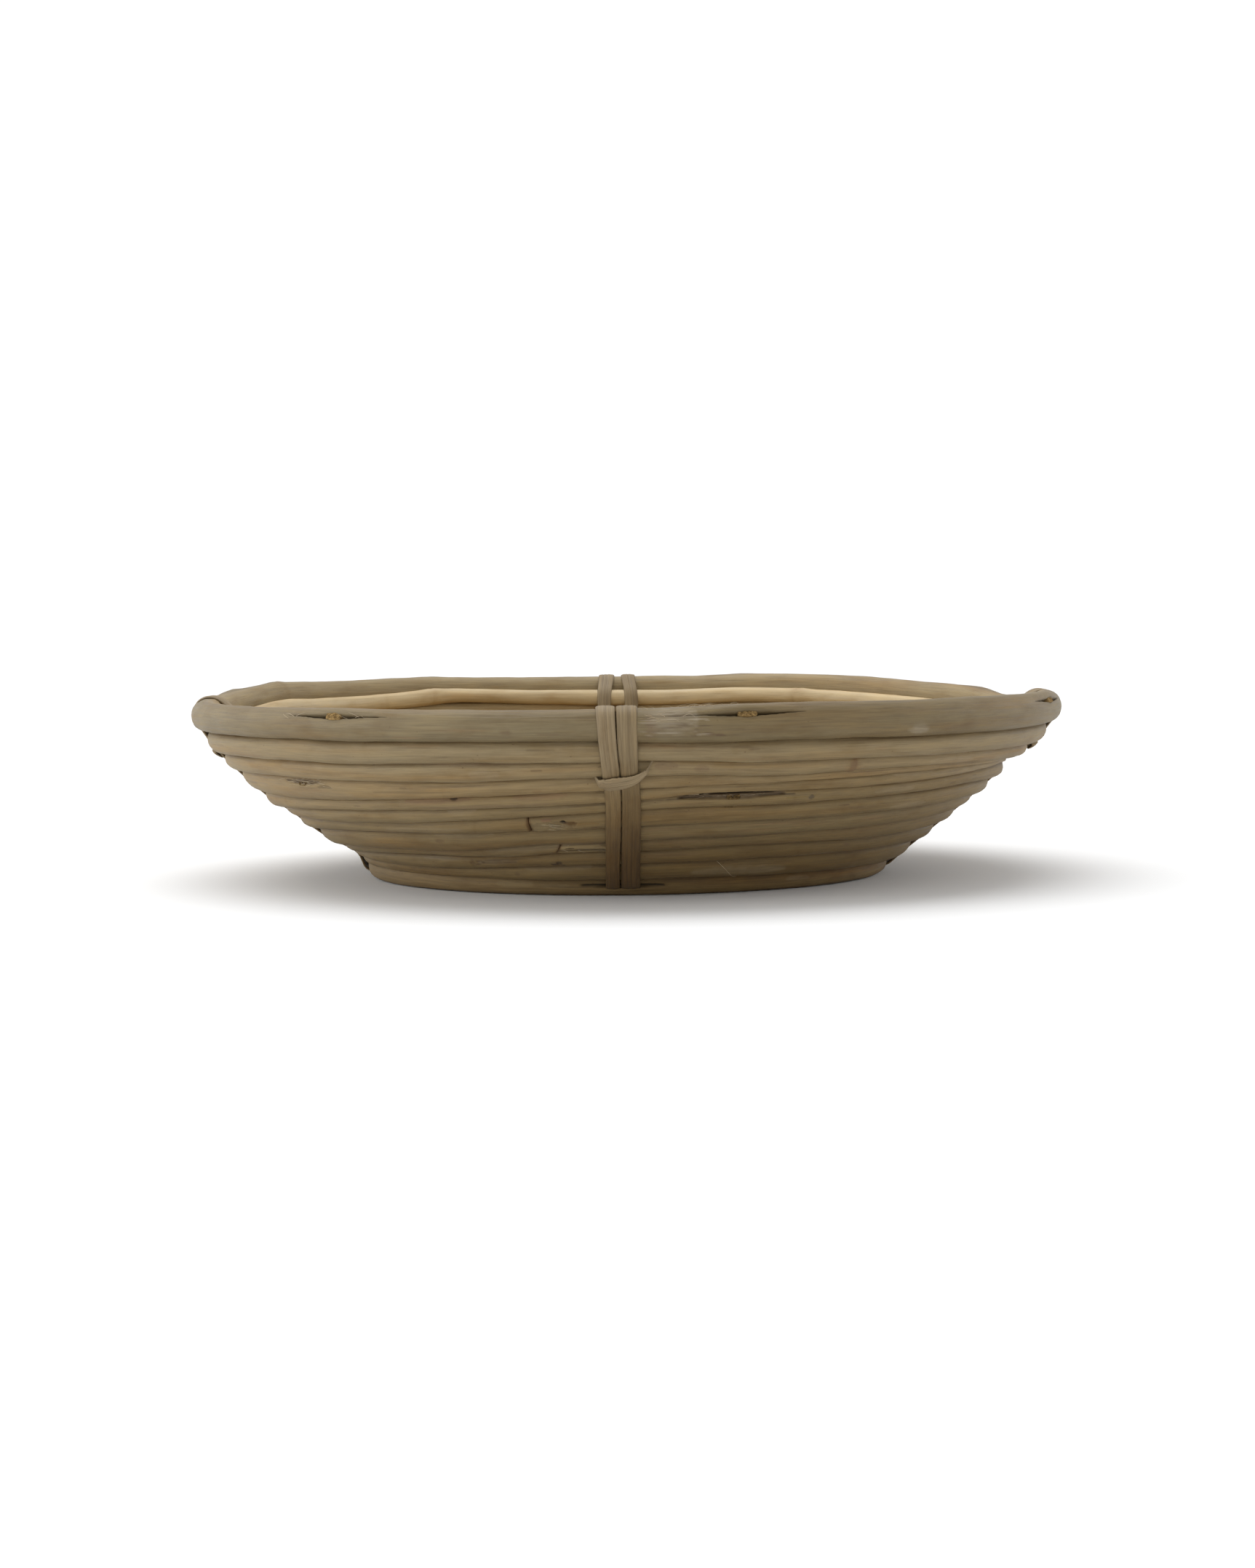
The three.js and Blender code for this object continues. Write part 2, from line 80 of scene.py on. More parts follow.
# ------------------------------------------------------------------ the wall's lines
# Azimuth 0 is the front (-Y), positive towards +X. Each list is (azimuth, height).
SEAMS = [
 [(-90,76),(-75,76.9),(-58.6,77.2),(-47.6,77.5),(-36.8,76.9),(-27.8,77.5),(-19.9,77.7),(-12.4,77.8),(-5.3,77.9),(3.4,77.1),(8.7,76.6),(14.1,76.7),(19.7,77),(25.6,77),(39.1,76.9),(47.3,76.7),(63.1,76.9),(76,77.2),(90,77),(110,76.4),(130,79.5),(155,82),(180,81.6),(205,82.2),(228,82.4),(246,81.8),(258,78.6)],
 [(-90,65.8),(-75,66.8),(-50.8,66.7),(-39,66.4),(-29.3,67.2),(-20.7,68),(-13,68.2),(-5.6,68.3),(3.5,69.2),(9,68.6),(14.8,67.7),(20.6,67.8),(26.9,67.9),(41.3,67.8),(50.6,67.8),(76,68.2),(90,67.6),(110,66.6),(130,69),(155,71.5),(180,71.4),(205,71.6),(228,70.8),(246,69.4),(258,67.4)],
 [(-90,57.6),(-75,58.6),(-54.6,58.9),(-41.5,58.5),(-31,58.6),(-22,59),(-13.6,60.5),(-5.8,61.3),(3.7,61.9),(9.4,62.3),(15.4,61.2),(21.7,60.7),(28,61.7),(35.1,62.2),(53.5,62.1),(75,61.4),(90,60.4),(110,58.8),(135,60.4),(160,62.3),(180,62.4),(205,62),(230,60),(250,58.4)],
 [(-90,46.8),(-74,47.6),(-58,46.6),(-45.5,47.6),(-33.2,49.5),(-23.2,51.4),(-14.3,53),(-6.1,54.4),(3.8,55.9),(12,56.6),(20,57),(30,57.8),(42,58.8),(54,59.4),(74,59.8),(90,58.6),(110,55.6),(135,54.4),(160,53.8),(180,53),(205,51.6),(230,49.2),(250,47.4)],
 [(-90,39.4),(-78,40),(-62,41.2),(-47.9,42.4),(-34.8,43.8),(-24.3,45.1),(-15,46.5),(-8.5,47.8),(-3,49),(3.9,50.5),(11,52.6),(16.3,52.8),(22.4,52.7),(29.9,52.9),(37.6,53.4),(46.6,54.2),(57.6,55.8),(74.2,58),(90,56.8),(110,52),(135,48.6),(160,47.2),(180,46),(205,44.2),(230,41.8),(250,40)],
 [(-90,34.4),(-73,35.4),(-63,35.8),(-52.5,36.1),(-37.2,37.6),(-25.7,39.3),(-15.6,41.4),(-6.7,43),(4,45.4),(10.4,46.3),(17,46.1),(23.9,46.4),(31.3,46.8),(39.3,47.6),(49.2,48.4),(61,50.2),(74.7,50.6),(90,49),(110,44.6),(135,41.6),(160,40),(180,39),(205,37.6),(230,36),(250,35)],
 [(-90,27.2),(-72.7,29),(-56.6,31),(-39.8,32),(-27.5,32.9),(-16.7,34.7),(-7.1,36),(2.1,37.4),(8.6,38.1),(18.1,38.6),(25.3,39.1),(33.3,39.5),(42.2,40),(53.5,40.6),(70.1,42.6),(90,42.6),(110,38.4),(135,35.4),(160,33.6),(180,32.4),(205,31),(230,29.4),(250,28)],
 [(-90,18.8),(-78,19.8),(-62,21.6),(-45,22.6),(-37.4,22.7),(-30.6,23.4),(-24,24.9),(-18.1,26.8),(-11.7,28.2),(-3.7,29.2),(2.1,30.4),(9.4,31),(16.9,30.8),(24.6,31.4),(36,32.3),(46,33),(59,34.2),(76,36.6),(90,36),(110,32),(135,29),(160,26.8),(180,25.4),(205,23.4),(230,21.2),(250,19.6)],
 [(-90,14.8),(-79,15.8),(-58.6,18),(-47.2,19.2),(-38.8,19.6),(-30,19.4),(-19.3,21),(-12.8,22.8),(-3.9,23.8),(2.3,24.5),(9.9,25.1),(17.7,25.8),(28.9,26.2),(35.2,26.1),(44.5,25.7),(50.6,26),(63.4,27.2),(78,28.2),(90,27.4),(110,24.6),(135,22.4),(160,21),(180,19.8),(205,18.2),(230,16.4),(250,15.2)],
 [(-90,12),(-79,12.7),(-65.7,12.9),(-51.8,13.1),(-42.4,13.2),(-34.4,13.6),(-27.2,14.3),(-14.4,16.3),(-4.2,17.3),(2.4,17.7),(10.6,18),(19,18.3),(31.1,18.7),(37.9,18.7),(48.3,18.5),(55.1,18.8),(70,18.9),(90,17.8),(110,16),(135,15),(160,14.6),(180,14.2),(205,13.6),(230,12.8),(250,12.2)],
 [(-90,8),(-79.8,8.5),(-62.5,8.4),(-45,8.3),(-29,8.5),(-22,8.6),(-9.4,9),(2.6,9.1),(11.5,9.4),(20.9,9.6),(27.6,9.4),(34.8,9.1),(43.2,8.8),(56,8.6),(68,8.6),(90,8.6),(120,8.8),(150,9),(180,9),(210,9),(240,8.4)],
]
RIM_TOP = [(-90,92.6),(-76,92.2),(-60,92.3),(-50,92.5),(-44,92.9),(-30.9,92.7),(-27.5,92.6),(-14.1,92.3),(-4.7,92.5),(3.4,93.1),(9,93.8),(14,94.2),(18,94.3),(28.5,94.2),(44,94),(55.4,93.9),(63.2,94),(70.5,94.2),(80,94),(90,92),(98,89),(107.5,88.1),(112,89.2),(117,91.6),(122.6,92.9),(132,94.8),(140.5,96.6),(147,97.4),(155,98.1),(161,97.8),(170,96.9),(180,96.8),(187,96.8),(196,97.2),(204,97.8),(212,98.4),(218,98.3),(224,97.8),(235,97.7),(240,98.5),(243.5,98.4),(247,97.4),(252,95.9),(257,94.8),(264,93.6)]
RIM_LOW = [(-90,77.6),(-75,77.4),(-58.6,77.6),(-47.6,77.8),(-36.8,77.3),(-27.8,77.7),(-12.4,78),(-5.3,78.1),(3.4,77.4),(8.7,76.9),(19.7,77.2),(47.3,77),(63.1,77.2),(76,77.6),(90,76.8),(107,75.2),(117,77.2),(132,80.4),(150,83),(165,83),(180,82.6),(196,83),(212,83.8),(226,83.2),(240,83.4),(247,82.4),(257,79.8)]
INNER_TOP = [(-90,83.6),(-60,83.6),(-30,83.6),(0,84),(30,84.4),(60,84.6),(90,83.6),(108,82),(117,83.6),(126,85.3),(138.4,87.6),(150.7,89.8),(157,90.3),(163.2,90.4),(167,89.8),(170.5,89.2),(181,89.2),(195.6,89.7),(204,91),(211,92),(216,91.2),(220.3,89.8),(229.3,89),(237.7,88.9),(244.5,89.6),(249,88.4),(254,87),(262,84.8)]
INNER_LOW = [(-90,74.6),(-60,74.8),(-30,74.8),(0,75),(30,75.3),(60,75.3),(90,74.6),(108,73.4),(126,76.6),(138,79),(150,81.6),(160,82.6),(163,82.3),(170.4,81),(181.3,80.2),(195.8,82),(207.2,84.3),(211.2,83.9),(215.3,82.2),(218.6,81.4),(229,80),(244,79.6),(254,78)]
SLOPE_Z = np.array([0,8,12,18,26,34,40,46,57,66,75,78,100.])
SLOPE_L = np.array([132,133.4,138,146,158,169.6,179,187,199.2,208.6,216,217.4,217.4]) * 0.992
SLOPE_R = np.array([132,134.6,140,148.6,157.4,168.4,177,184,195.6,206.6,217,217.6,217.6]) * 0.992

GRID = np.arange(0, 360, 0.25)
def periodic(points, sigma=2.2):
    a = np.array([p[0] % 360 for p in points], float)
    v = np.array([p[1] for p in points], float)
    o = np.argsort(a)
    a, v = a[o], v[o]
    g = np.interp(GRID, np.r_[a[-1] - 360, a, a[0] + 360], np.r_[v[-1], v, v[0]])
    n = len(GRID)
    fr = np.fft.rfftfreq(n, 0.25)
    return np.fft.irfft(np.fft.rfft(g) * np.exp(-2 * (np.pi * sigma * fr) ** 2), n)

def look(table, az):
    a = np.mod(az, 360)
    return np.interp(a, np.r_[GRID, 360], np.r_[table, table[0]])

SEAM_T = [periodic(s) for s in SEAMS]
RIM_TOP_T, RIM_LOW_T = periodic(RIM_TOP, 1.6), periodic(RIM_LOW, 1.6)
IN_TOP_T, IN_LOW_T = periodic(INNER_TOP, 1.6), periodic(INNER_LOW, 1.6)

def slope_r(z, az):
    w = (1 + np.sin(np.radians(az))) / 2
    return np.interp(z, SLOPE_Z, SLOPE_L) * (1 - w) + np.interp(z, SLOPE_Z, SLOPE_R) * w

def seam_line(k, az):
    z = look(SEAM_T[k], az)
    return slope_r(z, az), z

RIM_R = 217.0
SET_IN = 2.4          # the rods' middles lie this far inside the visible grooves

# Each section: centre (r, z), unit vector along the wall (tr, tz), half length along
# the wall and half thickness across it.
def wall_section(k, az):
    r0, z0 = seam_line(k - 1, az)
    r1, z1 = seam_line(k, az)
    h = np.hypot(r0 - r1, z0 - z1)
    # a steady wall direction, so that thin rods don't twist
    ra, za = seam_line(max(k - 3, 0), az)
    rb, zb = seam_line(min(k + 2, 10), az)
    d = np.hypot(ra - rb, za - zb)
    tr, tz = (ra - rb) / d, (za - zb) / d
    half = h / 2
    thick = np.clip(2.0 + 0.76 * half, 2.6, 6.5)
    r, z = (r0 + r1) / 2 - tz * SET_IN, (z0 + z1) / 2 + tr * SET_IN
    if k == 1:
        r, z = r + 0.6, z - 0.2
    return r, z, tr, tz, half + 0.12, thick

def rim_section(az):
    top, low = look(RIM_TOP_T, az), look(RIM_LOW_T, az)
    half = (top - low) / 2
    o = np.ones_like(half)
    return RIM_R + 0.15 * (half - 7) * 0, (top + low) / 2, 0 * o, o, half, 0.45 * half + 0.55 * 7.4

def inner_section(az):
    top, low = look(IN_TOP_T, az), look(IN_LOW_T, az)
    half = (top - low) / 2 + 0.2
    o = np.ones_like(half)
    return 205.9 * o, (top + low) / 2 - 0.2, 0 * o, o, half, 4.6 * o

def foot_section(az):
    o = np.ones_like(np.asarray(az, float))
    return 128.8 * o, 6.0 * o, 0 * o, o, 6.0 * o, 6.0 * o

# ------------------------------------------------------------------ mesh writing
def write_mesh(name, verts, faces, co, tint):
    """verts in mm; co: rod coordinates in mm; tint: linear base colour per vertex."""
    me = bpy.data.meshes.new(name)
    verts = np.asarray(verts, np.float64) * MM
    me.from_pydata(verts.tolist(), [], [list(f) for f in faces])
    a = me.attributes.new("rodco", 'FLOAT_VECTOR', 'POINT')
    a.data.foreach_set("vector", np.asarray(co, np.float32).ravel())
    c = me.attributes.new("tint", 'FLOAT_COLOR', 'POINT')
    rgba = np.ones((len(verts), 4), np.float32)
    rgba[:, :3] = np.clip(tint, 0.0, 1.0)
    c.data.foreach_set("color", rgba.ravel())
    me.polygons.foreach_set("use_smooth", [True] * len(me.polygons))
    me.update()
    ob = bpy.data.objects.new(name, me)
    bpy.context.scene.collection.objects.link(ob)
    return ob

def tube_faces(n, m, base=0, caps=True):
    """n rings of m points; returns faces, and the caps close on two centre points."""
    i = np.arange(n - 1)[:, None] * m
    j = np.arange(m)[None, :]
    j2 = (j + 1) % m
    f = np.stack([i + j, i + j2, i + m + j2, i + m + j], -1).reshape(-1, 4) + base
    faces = f.tolist()
    if caps:
        c0, c1 = base + n * m, base + n * m + 1
        last = base + (n - 1) * m
        for k in range(m):
            k2 = (k + 1) % m
            faces.append([c0, base + k2, base + k])
            faces.append([c1, last + k, last + k2])
    return faces

def fix_winding(ob):
    import bmesh
    bm = bmesh.new()
    bm.from_mesh(ob.data)
    bmesh.ops.recalc_face_normals(bm, faces=bm.faces)
    if bm.calc_volume(signed=True) < 0:
        bmesh.ops.reverse_faces(bm, faces=bm.faces)
    bm.to_mesh(ob.data)
    bm.free()

def dress(ob, mat, slot, *nodes):
    ob.data.materials.append(mat)
    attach(ob, "root")
    if nodes:
        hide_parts(*nodes)
    return ob

# ------------------------------------------------------------------ materials
def nd(nt, kind, **kw):
    n = nt.nodes.new(kind)
    for k, v in kw.items():
        setattr(n, k, v)
    return n

def rod_material(name, rough=0.6, spec=0.3, grain=0.16, fleck=0.5, bump=0.5, speckle=0.35):
    mat = bpy.data.materials.new(name)
    mat.use_nodes = True
    nt = mat.node_tree
    nt.nodes.clear()
    L = nt.links.new
    out = nd(nt, 'ShaderNodeOutputMaterial')
    bs = nd(nt, 'ShaderNodeBsdfPrincipled')
    bs.inputs['Specular IOR Level'].default_value = spec
    L(bs.outputs[0], out.inputs[0])
    co = nd(nt, 'ShaderNodeAttribute', attribute_name='rodco')
    tint = nd(nt, 'ShaderNodeAttribute', attribute_name='tint')

    def stretched(sx, sy):
        m = nd(nt, 'ShaderNodeMapping')
        m.inputs['Scale'].default_value = (sx, sy, sy)
        L(co.outputs['Vector'], m.inputs['Vector'])
        return m.outputs[0]

    def noise(vec, scale, detail, rough_=0.55):
        n = nd(nt, 'ShaderNodeTexNoise')
        n.inputs['Scale'].default_value = scale
        n.inputs['Detail'].default_value = detail
        n.inputs['Roughness'].default_value = rough_
        L(vec, n.inputs['Vector'])
        return n.outputs['Fac']

    def ramp(fac, stops):
        r = nd(nt, 'ShaderNodeValToRGB')
        e = r.color_ramp.elements
        e[0].position, e[0].color = stops[0][0], (*stops[0][1], 1)
        e[1].position, e[1].color = stops[-1][0], (*stops[-1][1], 1)
        for p, c in stops[1:-1]:
            x = e.new(p)
            x.color = (*c, 1)
        L(fac, r.inputs[0])
        return r.outputs[0]

    def mul(a, b, fac=1.0):
        m = nd(nt, 'ShaderNodeMix', data_type='RGBA', blend_type='MULTIPLY')
        m.inputs[0].default_value = fac
        L(a, m.inputs[6])
        L(b, m.inputs[7])
        return m.outputs[2]

    g = grain
    # long soft streaks, fine fibres, cloudy stains, short dark flecks
    streak = noise(stretched(0.035, 0.9), 1.0, 5)
    fibre = noise(stretched(0.05, 4.2), 1.0, 4, 0.6)
    cloud = noise(stretched(0.045, 0.12), 1.0, 4)
    fleck_n = noise(stretched(0.42, 2.1), 1.0, 3)
    fleck_m = noise(stretched(0.10, 0.22), 1.0, 2)
    c = mul(tint.outputs['Color'], ramp(streak, [(0.30, (1 - 1.5 * g, 1 - 1.65 * g, 1 - 1.9 * g)), (0.5, (1, 1, 1)), (0.72, (1 + g, 1 + g, 1 + 0.9 * g))]))
    c = mul(c, ramp(fibre, [(0.30, (1 - 1.3 * g, 1 - 1.45 * g, 1 - 1.7 * g)), (0.52, (1, 1, 1)), (0.70, (1 + 0.6 * g, 1 + 0.6 * g, 1 + 0.5 * g))]))
    c = mul(c, ramp(cloud, [(0.28, (0.86, 0.80, 0.70)), (0.5, (1, 1, 1)), (0.72, (1.07, 1.05, 1.0))]))
    fl = nd(nt, 'ShaderNodeMath', operation='MULTIPLY')
    f1 = ramp(fleck_n, [(0.685, (0, 0, 0)), (0.735, (1, 1, 1))])
    f2 = ramp(fleck_m, [(0.48, (0, 0, 0)), (0.60, (1, 1, 1))])
    L(f1, fl.inputs[0]); L(f2, fl.inputs[1])
    fs = nd(nt, 'ShaderNodeMath', operation='MULTIPLY')
    fs.inputs[1].default_value = fleck
    L(fl.outputs[0], fs.inputs[0])
    dark = nd(nt, 'ShaderNodeMix', data_type='RGBA', blend_type='MULTIPLY')
    dark.inputs[7].default_value = (0.42, 0.30, 0.17, 1)
    L(fs.outputs[0], dark.inputs[0]); L(c, dark.inputs[6])
    # tiny specks
    vor = nd(nt, 'ShaderNodeTexVoronoi')
    vor.inputs['Scale'].default_value = 1.0
    L(stretched(0.16, 0.22), vor.inputs['Vector'])
    sp = ramp(vor.outputs['Distance'], [(0.035, (1, 1, 1)), (0.075, (0, 0, 0))])
    sm = nd(nt, 'ShaderNodeMath', operation='MULTIPLY')
    sm.inputs[1].default_value = speckle
    L(sp, sm.inputs[0])
    dark2 = nd(nt, 'ShaderNodeMix', data_type='RGBA', blend_type='MULTIPLY')
    dark2.inputs[7].default_value = (0.30, 0.20, 0.10, 1)
    L(sm.outputs[0], dark2.inputs[0]); L(dark.outputs[2], dark2.inputs[6])
    L(dark2.outputs[2], bs.inputs['Base Color'])
    rr = nd(nt, 'ShaderNodeMapRange')
    rr.inputs['From Min'].default_value, rr.inputs['From Max'].default_value = 0.3, 0.7
    rr.inputs['To Min'].default_value, rr.inputs['To Max'].default_value = rough - 0.09, rough + 0.11
    L(streak, rr.inputs['Value'])
    L(rr.outputs[0], bs.inputs['Roughness'])
    h = nd(nt, 'ShaderNodeMath', operation='MULTIPLY_ADD')
    h.inputs[1].default_value = 0.6
    L(fibre, h.inputs[0]); L(streak, h.inputs[2])
    h2 = nd(nt, 'ShaderNodeMath', operation='SUBTRACT')
    L(h.outputs[0], h2.inputs[0]); L(fs.outputs[0], h2.inputs[1])
    b = nd(nt, 'ShaderNodeBump')
    b.inputs['Strength'].default_value = bump
    b.inputs['Distance'].default_value = 0.00035
    L(h2.outputs[0], b.inputs['Height'])
    L(b.outputs[0], bs.inputs['Normal'])
    return mat

MAT_RIM = rod_material("rim_rod", rough=0.56, spec=0.36, grain=0.13, fleck=0.45, bump=0.55)
MAT_WALL = rod_material("wall_rod", rough=0.60, spec=0.32, grain=0.12, fleck=0.7, bump=0.5, speckle=0.5)
MAT_INNER = rod_material("inner_rod", rough=0.50, spec=0.4, grain=0.07, fleck=0.25, bump=0.3, speckle=0.15)
MAT_FOOT = rod_material("foot_rod", rough=0.66, spec=0.28, grain=0.16, fleck=0.7, bump=0.6, speckle=0.5)
MAT_CANE = rod_material("split_cane", rough=0.58, spec=0.34, grain=0.17, fleck=0.3, bump=0.55, speckle=0.1)
MAT_PEG = rod_material("peg", rough=0.85, spec=0.15, grain=0.3, fleck=0.9, bump=1.0, speckle=0.8)

# ------------------------------------------------------------------ rods
RIM_C = np.array([0.198, 0.151, 0.080])
INNER_C = np.array([0.50, 0.38, 0.21])
WALL_C = np.array([0.262, 0.188, 0.093])
FOOT_C = np.array([0.222, 0.154, 0.075])
PEGS = [14.2, 70.0, 117.0, 162.0, 211.0, 254.0, 322.6]
SPLIT_LEN = [28, 26, 25, 26, 27, 24, 30.5]
PEG_NAMES = ['front_right', 'right', 'back_right', 'back', 'back_left', 'left', 'front_left']
WALL_PEGS = [(15.0, 5), (75.0, 5), (135.0, 5), (195.0, 5), (255.0, 5), (308.0, 3)]
WALL_PEG_NAMES = ['front_right', 'right', 'back_right', 'back_left', 'left', 'front_left']

def signed_pow(u, p):
    return np.sign(u) * np.abs(u) ** p

def swept_rod(name, section, start, base, seed, n=960, m=36, expo=2.5, span=360.0, gap=0.12,
              nodes_at=(), marks=(), extra=None, lump=0.25, scarf=None, crevice=0.3, wander=0.25,
              dense=(), focus=None, ringed=0.25, end_skew=0.0, inside=1.0, shade_and_stain=0.0):
    """A rod bent round the basket from azimuth start, one full turn."""
    r_mean = float(np.mean(section(np.array([0.0, 90, 180, 270]))[0]))
    g = math.degrees(gap / r_mean)
    az = np.linspace(start + g, start + span - g, n)
    if dense:                                    # more rings where there is more to show
        fine = np.linspace(start + g, start + span - g, 8000)
        wt = np.ones(8000)
        for q, hw in dense:
            da = np.abs((fine - q + 180) % 360 - 180)
            wt += 2.2 * smooth(hw * 1.3, hw * 0.9, da)
        cum = np.r_[0, np.cumsum((wt[1:] + wt[:-1]) / 2)]
        az = np.interp(np.linspace(0, cum[-1], n), cum, fine)
    r, z, tr, tz, half, thick = (np.broadcast_to(v, az.shape).astype(float) for v in section(az))
    ds = np.radians(np.diff(az)) * (r[1:] + r[:-1]) / 2
    s = np.r_[0, np.cumsum(ds)]
    total = s[-1]
    r = r + wander * 1.4 * vnoise(s / 55.0, seed * 3.1, seed=seed)
    z = z + wander * 0.6 * vnoise(s / 47.0, seed * 1.7, 5.0, seed=seed)
    # nodes: the rod swells and kinks a little at each
    rng = np.random.default_rng(seed)
    ring = list(nodes_at)
    pos = rng.uniform(40, 110)
    while pos < total - 25:
        a_here = np.interp(pos, s, az)
        if all(abs(((a_here - q + 180) % 360) - 180) > 8 for q, _ in nodes_at):
            ring.append((a_here, rng.uniform(0.10, 0.30)))
        pos += rng.uniform(150, 420)
    phi = np.linspace(0, 2 * np.pi, m, endpoint=False)
    if focus is not None:
        phi = phi - 0.55 * np.sin(phi - math.radians(focus))
    cp, sp = np.cos(phi)[None], np.sin(phi)[None]
    ct, sn = signed_pow(cp, 2 / expo), signed_pow(sp, 2 / expo)
    S = s[:, None]
    H, T = half[:, None], thick[:, None]
    mean_a = (H + T) / 2
    d = lump * fbm(S / 19.0, cp * 1.3 + seed, sp * 1.3, seed=seed, octaves=2)
    d = d + 0.10 * fbm(S / 26.0, cp * 5.5, sp * 5.5, seed=seed + 5, octaves=2)
    d = d + 0.05 * vnoise(S / 5.0, cp * 9, sp * 9, seed=seed + 9)
    tint = np.ones((n, m, 3)) * base
    if shade_and_stain:                                    # darker all round and most a little right of the front: painted shade, partly stain
        off = (az - 24 + 180) % 360 - 180
        dk = 0.35 + 0.65 * np.exp(-(off / 42.0) ** 2)
        tint = tint * (1 - shade_and_stain * dk[:, None, None] * np.array([0.85, 1.0, 1.45]))
    tone = 1 + 0.09 * fbm(S / 60.0, cp * 0.8, sp * 0.8, seed=seed + 21, octaves=3)
    tone = tone + 0.05 * fbm(S / 30.0, cp * 3.6, sp * 3.6, seed=seed + 23, octaves=2)
    warm = 0.5 + 0.5 * fbm(S / 75.0, cp * 1.1, sp * 1.1, seed=seed + 31, octaves=3)
    tint = tint * tone[..., None]
    tint = tint * (1 - 0.10 * smooth(0.52, 0.85, warm)[..., None] * np.array([0.0, 0.9, 2.2]))
    tint = tint * (1 + 0.06 * smooth(0.5, 0.2, warm)[..., None] * np.array([0.2, 0.8, 1.8]))
    for q, amp in ring:
        da = ((az - q + 180) % 360 - 180) * np.pi / 180 * r
        skew = 1.2 * np.cos(phi[None] - q)
        x = da[:, None] + skew
        d = d + amp * (0.55 * bell(x, 0, 5.5) - 0.35 * bell(x, 1.1, 0.9))
        tint = tint * (1 - (ringed * amp * bell(x, 0.6, 1.3) + 0.12 * amp * bell(x, 0, 7))[..., None] * np.array([0.8, 1.0, 1.3]))
    # painted shade in the grooves where the rods touch, partly dirt, uneven along them
    dirt_and_shade_lo = 0.55 + 0.75 * fbm(S / 38.0, 3.3, seed=seed + 41)
    dirt_and_shade_hi = 0.55 + 0.75 * fbm(S / 44.0, 9.3, seed=seed + 43)
    dirt_and_shade = np.where(cp < 0, dirt_and_shade_lo, dirt_and_shade_hi)
    edge = smooth(0.70, 0.99, np.abs(cp)) ** 1.5
    tint = tint * (1 - np.clip(crevice * 1.5 * edge * dirt_and_shade, 0, 0.75)[..., None] * np.array([0.85, 1.0, 1.2]))
    # the rod's inner face is painted lighter: partly cleaner peeled wood, partly painted light
    if inside != 1.0:
        tint = tint * (1 + (inside - 1) * smooth(0.15, -0.35, sp)[..., None])
    off_t, off_n = H * ct, T * sn
    if scarf:
        flat, ramp_end, keep, splinter = scarf
        rough_n = 0.22 * vnoise(S / 2.6, off_t * 1.1, seed=seed + 3) + 0.16 * vnoise(S / 1.1, off_t * 2.4, seed=seed + 6)
        split_n = vnoise(S / 34.0, off_t * 0.95 + 0.25, seed=seed + 4)
        lim = T * (keep + (1 - keep) * smooth(flat, ramp_end, S + 3.0 * vnoise(off_t * 0.9, 1.0, seed=seed + 8)))
        lim = lim + rough_n * (1 - splinter) + splinter * 0.75 * split_n
        wq = smooth(-0.2, 0.5, off_n - lim) * (S < ramp_end + 2)
        off_n = np.where(wq > 0, np.minimum(off_n, lim), off_n)
        fib = 0.5 + 0.5 * vnoise(S / 7.0, off_t * 2.2, seed=seed + 4)
        fine = 0.5 + 0.5 * vnoise(S / 1.5, off_t * 3.0, seed=seed + 5)
        tone2 = (1 - splinter) * (0.74 + 0.26 * fib + 0.16 * (fine - 0.5)) + splinter * (0.34 + 0.95 * smooth(-0.5, 0.35, split_n) + 0.2 * (fib - 0.5))
        pale = base * np.array([1.12, 1.16, 1.25]) * tone2[..., None]
        wq = wq[..., None]
        tint = tint * (1 - 0.85 * wq) + 0.85 * wq * pale
        d = d * (1 - 0.7 * wq[..., 0])
    for (a0, phi0, sl, sw, colour, strength, depth) in marks:
        da = ((az - a0 + 180) % 360 - 180) * np.pi / 180 * r
        dphi = (np.degrees(phi) - phi0 + 180) % 360 - 180
        w = mean_a * np.radians(dphi)[None]
        taper = np.clip(1 - (np.abs(da[:, None]) / (sl * 1.25)) ** 2, 0, 1)
        hard = 5 if depth > 0.25 else 2
        q = np.exp(-(np.abs(w) / (sw * (0.25 + 0.9 * taper))) ** hard) * smooth(0, 0.25, taper)
        q = np.clip(1.25 * q * (1 + 0.45 * vnoise(S / 2.4, w * 2.2, seed=seed + 77)), 0, 1)
        tint = tint * (1 - strength * q[..., None]) + strength * q[..., None] * np.array(colour) * MARK_SCALE
        d = d - depth * q
    if extra:
        off_t, off_n, d, tint = extra(az, S, phi, off_t, off_n, d, tint, r, mean_a)
